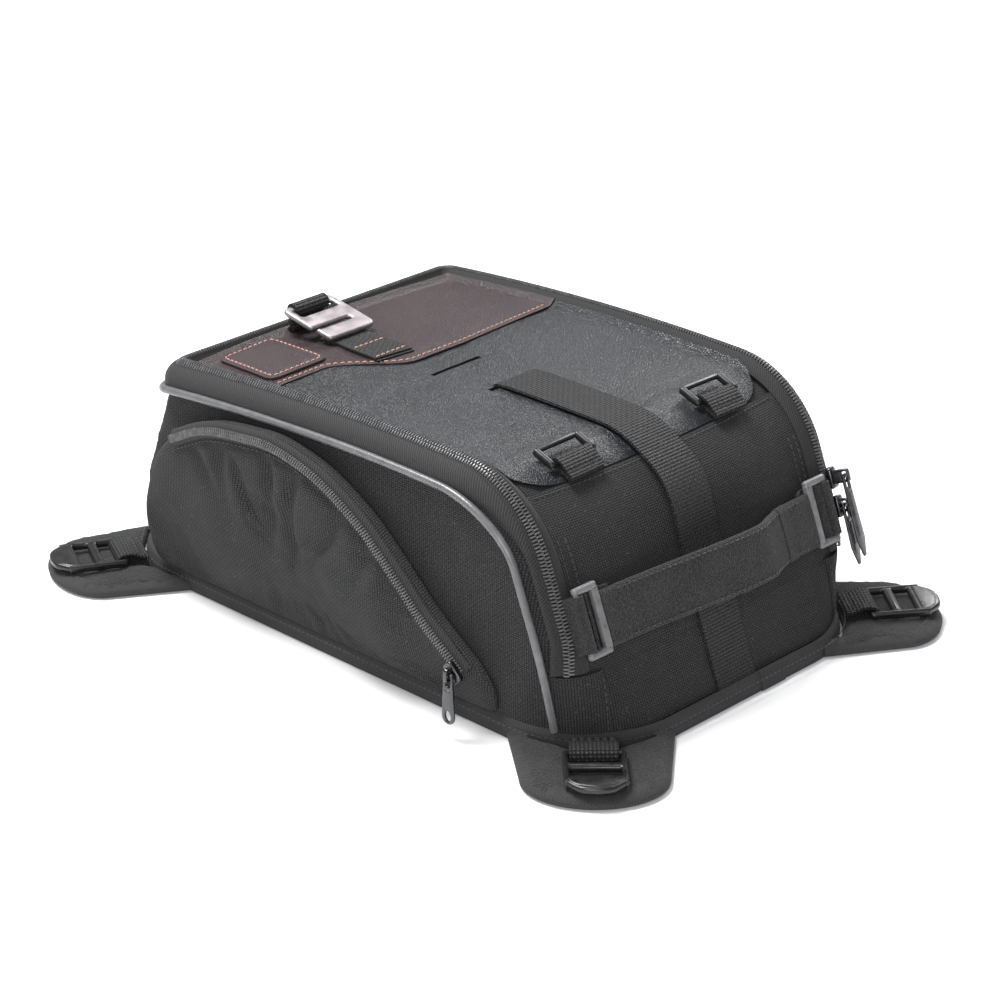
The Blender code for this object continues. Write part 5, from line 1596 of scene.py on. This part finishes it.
def d_loop(side, sign):
    place = frame_at(sign * 0.0565, 0.153, 0.0)
    z, r = 0.0054, 0.00235
    pts = [(-0.0125, 0.0026), (-0.0095, z - r), (-0.003, z - r)]
    pts += arc((0, z), r, -80, 74, 7)
    pts += [(-0.003, z + r), (-0.0065, z + 0.0013), (-0.0095, z + 0.0001), (-0.0125, z - 0.0008)]
    turn = place.to_3x3()
    tab = [place @ Vector((0, y, h)) for y, h in pts]
    tab = webbing("lashing_tab_" + side, tab, turn @ Vector((1, 0, 0)), 0.0252, 0.0013, 0.0011)
    ride(tab, "lid", "webbing", "d_tab_" + side)
    line = [place @ Vector((x, -0.0075, z + 0.0018)) for x in np.linspace(-0.0115, 0.0115, 14)]
    ride(stitches("lashing_sew_" + side, line, turn @ Vector((0, 0, 1))), "lid", "webbing")
    outer_x, inner_x = 0.0165, 0.0134
    outline = [(-outer_x, -0.0013), (outer_x, -0.0013), (outer_x, 0.0112), (outer_x - 0.0025, 0.0136),
               (-outer_x + 0.0025, 0.0136), (-outer_x, 0.0112)]
    outline = round_corners(outline, [0.0012, 0.0012, 0.0025, 0.002, 0.002, 0.0025])
    hole = rect(-inner_x, 0.0012, inner_x, 0.0104, 0.0012)
    arms = [(rect(s * 0.0132, -0.0018, s * 0.0172, 0.0128, 0.0018), [], 0.0044, 0.0018) for s in (-1, 1)]
    bar = place @ Matrix.Translation((0, 0, z))
    obj = fitting("lashing_loop_" + side, "plastic", bar, (outline, [hole], 0.0026, 0.0011), *arms)
    ride(obj, "d_loop_" + side, "black_plastic", "d_loop_" + side)


for side, sign in (("left", -1), ("right", 1)):
    d_loop(side, sign)


# ------------------------------------------------------------------ hook and its straps

def hook_place():
    y, z = over(top_u(0.1085))
    return Matrix.Translation((-0.016, y, z + 0.0125)) @ Matrix.Rotation(math.radians(10), 4, "X")


def hook():
    half, low, high, slot_x = 0.0185, -0.021, 0.019, 0.0142
    body = [(half, high), (-half, high), (-half, -0.0062), (0.0100, -0.0062), (0.0100, -0.0100),
            (-0.0140, -0.0100), (-0.0172, -0.0084), (-0.0172, low), (half, low)]
    body = round_corners(body, [0.005, 0.005, 0.003, 0.0015, 0.0015, 0.001, 0.0018, 0.004, 0.005], 5)
    closed = rect(-slot_x, 0.0058, slot_x, 0.0137, 0.0022, 5)
    return fitting("hook_casting", "hook", hook_place(), (body, [closed], 0.0034, 0.0014))


ride(hook(), "hook", "satin_metal", "g_hook")


def hook_strap():
    bar = hook_place() @ Vector((0, 0.0162, 0))
    r, x = 0.0036, -0.016
    seam = FAR_TOP_Y - 0.0133 - 0.002
    seat = top_z(seam) + STACK + 0.0012
    pts = [(seam + 0.001, seat), (seam - 0.001, seat + 0.0035)] + arc((bar.y, bar.z), r, -30, 230, 13)
    pts += [(bar.y + 0.0012, bar.z - 0.0049), (seam - 0.0035, seat + 0.0028), (seam - 0.0018, seat + 0.0002)]
    obj = webbing("hook_strap_web", [Vector((x, y, z)) for y, z in pts], (1, 0, 0), 0.0252, 0.0014, 0.0012)
    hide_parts("hook_strap")
    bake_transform(obj)


hook_strap()


def anchor():
    tongue = (hook_place() @ Vector((0, -0.0168, 0))).y
    surface = STACK + 0.0003

    def on_panel(y, lift, x=0.0):
        return Vector((-0.023 + 0.0055 * (y - 0.047) / 0.045 + x, y, top_z(y) + surface + lift))

    ys = (0.0455, 0.052, 0.058, 0.065, 0.074)
    turn = ((-8, 0.0), (0, 0.0), (8, 0.0), (9.0, 0.55), (8, 1.1), (0, 1.1), (-8, 1.05))
    pts = [on_panel(y, 0.0) for y in ys]
    for y, z in turn:
        point = on_panel(tongue + y * MM, z * MM)
        point.x = on_panel(tongue, 0.0).x
        pts.append(point)
    pts += [on_panel(y, 0.0011) for y in reversed(ys[1:])] + [on_panel(0.0475, 0.0010)]
    obj = webbing("hook_anchor_web", pts, (1, 0, 0), 0.0252, 0.0010, 0.0014, lip=0.0)
    ride(obj, "lid", "webbing", "hook_anchor")
    rows = []
    for y in (0.0505, 0.0705):
        line = [on_panel(y, 0.0017, x) for x in np.linspace(-0.0115, 0.0115, 14)]
        name = f"anchor_sew_{int(y * 1e4)}"
        rows.append(stitches(name, line, Vector((0, 0, 1)), "salmon", 0.0038, 0.0028, 0.0005))
    ride(join(*rows), "lid", "webbing")


anchor()


# ------------------------------------------------------------------ grab handle

RING_U = near_u(0.067)


def ring_place(sign):
    side = UP if sign < 0 else -UP
    turn = basis(Vector((-sign, 0, 0)), side, OUT)
    return Matrix.Translation(lifted(sign * 0.0985, RING_U, 0.0) + OUT * 0.008) @ turn


def handle():
    base = lifted(0.0, RING_U, 0.0)
    end_x = 0.0985 - 0.0184
    end_lift = (ring_place(1).translation - base).dot(OUT)
    bow_at = (-0.09, 0.0, 0.1, 0.25, 0.4, 0.55, 0.66, 0.76, 0.86, 1.0, 1.09)
    bow_by = (0.0, 0.0, 1.5, 6.5, 12.5, 17.0, 17.0, 9.0, 2.5, 0.0, 0.0)
    knots = [base + Vector((end_x * (2 * t - 1), 0, 0)) + OUT * (end_lift + b * MM)
             for t, b in zip(bow_at, bow_by)]
    spine = catmull(knots[1:-1], 0.0018)
    shift = [Vector((x, 0, 0)) for x in (0.003, 0.0015)]
    spine = [spine[0] - s for s in shift] + spine + [spine[-1] + s for s in reversed(shift)]
    w, t = 0.0150, 0.0019
    low = [(-w, -0.0006), (-w + 0.0006, -t * 0.8), (-w + 0.0025, -t), (-0.006, -t * 1.12), (0, -t * 1.15),
           (0.006, -t * 1.12), (w - 0.0025, -t), (w - 0.0006, -t * 0.8), (w, -0.0006)]
    section = low + [(-x, -y) for x, y in low]
    sleeve = sweep("handle_sleeve", spine, *frames(spine, side=UP), section, "brushed")
    ride(sleeve, "handle", "brushed_fabric", "handle_strap")
    rows = []
    for sign in (-1, 1):
        line = [p + UP * (sign * 0.0128) + OUT * 0.0020 for p in spine[6:-6]]
        rows.append(stitches(f"handle_stitch_{sign}", line, OUT, length=0.0027, radius=0.0004, sink=-0.0001))
    for x in (-0.066, -0.071, 0.066, 0.071):
        near = min(spine, key=lambda p: abs(p.x - x))
        line = [near + UP * h + OUT * 0.0021 for h in np.linspace(-0.0135, 0.0135, 14)]
        rows.append(stitches(f"handle_cross_{x}", line, OUT, pitch=0.0034, radius=0.0004, sink=-0.0001))
    ride(join(*rows), "handle", "brushed_fabric")
    # the fold of the sleeve near its right end
    cuff = [p for p in spine if 0.0505 < p.x < 0.0625]
    grown = [(x * 1.02, y * 1.32) for x, y in section]
    ride(sweep("handle_cuff", cuff, *frames(cuff, side=UP), grown, "brushed"), "handle", "brushed_fabric")


def ring(side, sign):
    """Handle ring with the webbing that holds it on the lid and the handle's own loop."""
    place = ring_place(sign)
    half_h, bar, width = 0.0185, 0.003, 0.016
    high, far = half_h - bar, width - 0.0045
    outline = rect(-0.0015, half_h, width - 0.0015, -half_h, 0.0026)
    plates = [(outline, [rect(0.0015, high, far, -high, 0.0012)], 0.0034, 0.0014)]
    for s in (-1, 1):
        plates.append((rect(-0.0018, s * 0.0150, width - 0.0012, s * 0.0192, 0.0019), [], 0.0046, 0.0019))
    plates += [(rect(width - 0.0058, 0.0168, width - 0.0010, -0.0168, 0.0010), [], 0.0042, 0.0012)]
    obj = fitting("ring_" + side, "grey_plastic", place, *plates)
    ride(obj, "ring_" + side, "grey_plastic", "handle_ring_" + side)
    across = place.to_3x3() @ Vector((0, 1, 0))
    pts = [(-0.0060, -0.0052), (-0.0034, -0.0046), (-0.0006, -0.0037)] + arc((0, 0), 0.003, -60, 180, 12)
    pts = [place @ Vector((x, 0, z)) for x, z in pts + [(-0.0040, -0.0020), (-0.0058, -0.0040)]]
    obj = webbing("handle_anchor_web_" + side, pts, across, 0.030, 0.0014, 0.0011, "brushed")
    ride(obj, "lid", "brushed_fabric", "handle_anchor_" + side)
    bar_x = width - 0.003
    pts = ((0.0100, 0.0004), (0.0060, -0.0012), (0.0030, -0.0036), (0.0, -0.0040), (-0.0040, -0.0024),
           (-0.0066, 0.0004), (-0.0086, 0.0024))
    pts = [place @ Vector((bar_x + x, 0, z)) for x, z in pts]
    obj = webbing("handle_loop_web_" + side, pts, across, 0.0298, 0.0012, 0.0011, "brushed")
    ride(obj, "handle", "brushed_fabric", "handle_loop_" + side)


handle()
ring("left", -1)
ring("right", 1)


# ------------------------------------------------------------------ sliders and pulls

def slider(name, place, turn, crown, node, body):
    outline = round_corners([(-0.0042, -0.006), (0.0042, -0.006), (0.0034, 0.006), (-0.0034, 0.006)], 0.0022)
    at = place @ Matrix.Rotation(math.radians(turn), 4, "Z")
    obj = plate(name, outline, [], 0.0034, 0.0009, "slider", at)
    arch = rect(-0.0038, -0.0008, 0.0038, crown + 0.0029, [0.0004, 0.0004, 0.0018, 0.0018])
    window = rect(-0.0023, crown - 0.0016, 0.0023, crown + 0.0016, 0.0006)
    upright = Matrix.Rotation(math.radians(90), 4, "Z") @ Matrix.Rotation(math.radians(90), 4, "X")
    join(obj, plate(name + "_arch", arch, [window], 0.0025, 0.0005, "slider", place @ upright))
    ride(box_uv(obj), body, "black_plastic", node)


def pull_tab(name, place, length, crown, node, oval=False):
    """Zipper pull hanging from its slider's crown, with an oval or a square end."""
    head, tip = 0.0032, 0.0044
    side = [(head, 0.0012), (head + 0.0003, -0.008)]
    holes = [rect(-0.0018, -0.0012, 0.0018, -0.0066, 0.0008)]
    if oval:
        side.append((tip, -length + 0.004))
        end = arc((0, -length + 0.004), tip, -15, -165, 10)
        turns = np.linspace(0, 2 * math.pi, 22)[:-1]
        holes.append([(0.0021 * math.cos(a), -length + 0.0042 + 0.0030 * math.sin(a)) for a in turns])
    else:
        side.append((tip, -length + 0.010))
        end = [(0.0008, -length), (-0.0008, -length)]
    outline = side + end + [(-x, y) for x, y in reversed(side)]
    low, high = -0.0088, -length + (0.0095 if oval else 0.0110)
    raised = round_corners([(-0.0026, low), (0.0026, low), (0.0032, high), (-0.0032, high)], 0.0012)
    at = place @ Matrix.Translation((0, 0, crown))
    obj = fitting(name, "slider", at, (outline, holes, 0.0019, 0.0008), (raised, [], 0.0027, 0.0006))
    ride(obj, node, "black_plastic", node)


for side, sign in (("left", -1), ("right", 1)):
    y, z = -0.110, 0.037
    x = HALF_W + 0.0136 + 0.0006 * (y + 0.120) / 0.040 + 0.0063
    turn = basis(Vector((0, -sign, 0)), Vector((0, 0, 1)), Vector((sign, 0, 0)))
    place = Matrix.Translation((sign * x, y, z)) @ turn
    slider("pocket_slide_" + side, place, 42 * sign, 0.0034, "pocket_slider_" + side, "bag")
    pull_tab("pocket_tab_" + side, place, 0.028, 0.0034, "pocket_pull_" + side, oval=True)

for name, height, crown, length in (("upper", 0.080, 0.0078, 0.046), ("lower", 0.065, 0.0034, 0.034)):
    place = frame_at(HALF_W - 0.00985, near_u(height), 0.0081)
    slider("main_slide_" + name, place, 0, crown, "main_slider_" + name, "lid")
    pull_tab("main_tab_" + name, place, length, crown, "main_pull_" + name)


# ------------------------------------------------------------------ stage, camera, light

mesh = bpy.data.meshes.new("floor")
mesh.from_pydata([(-6, -6, 0), (6, -6, 0), (6, 6, 0), (-6, 6, 0)], [], [(0, 1, 2, 3)])
floor = bpy.data.objects.new("floor", mesh)
floor.location = (0, 0, -0.0001)
scene.collection.objects.link(floor)
paper = Nodes("paper", (0.93, 0.93, 0.93), 0.85, specular=0.2)
paper.bump(paper.noise(60, 2), 0.02, 0.0005)
mesh.materials.append(paper.material)

camera_data = bpy.data.cameras.new("camera")
camera = bpy.data.objects.new("camera", camera_data)
scene.collection.objects.link(camera)
AZIMUTH, ELEVATION, DISTANCE, TARGET = -0.80216, 0.42685, 1.7699, Vector((0.02778, 0.026, 0.04067))
LEVEL = math.cos(ELEVATION)
away = Vector((math.sin(AZIMUTH) * LEVEL, -math.cos(AZIMUTH) * LEVEL, math.sin(ELEVATION)))
camera.location = TARGET + DISTANCE * away
camera.rotation_euler = (TARGET - camera.location).to_track_quat("-Z", "Y").to_euler()
camera_data.lens, camera_data.sensor_width = 111.84, 36
camera_data.clip_start = 0.05
scene.camera = camera


def soft_light(name, location, power, size, target=(0, 0, 0.05)):
    data = bpy.data.lights.new(name, "AREA")
    data.energy, data.size = power, size
    obj = bpy.data.objects.new(name, data)
    obj.location = location
    obj.rotation_euler = (Vector(target) - Vector(location)).to_track_quat("-Z", "Y").to_euler()
    scene.collection.objects.link(obj)


soft_light("key", (-0.25, 0.75, 1.9), 70, 0.9)
soft_light("front", (-1.7, -1.3, 1.1), 26, 0.9)
soft_light("rim", (1.7, 0.6, 1.2), 20, 0.9)
scene.view_settings.view_transform = "Standard"
world = bpy.data.worlds.new("studio")
world.use_nodes = True
world.node_tree.nodes["Background"].inputs["Color"].default_value = (0.95, 0.96, 1.0, 1)
world.node_tree.nodes["Background"].inputs["Strength"].default_value = 0.36
scene.world = world
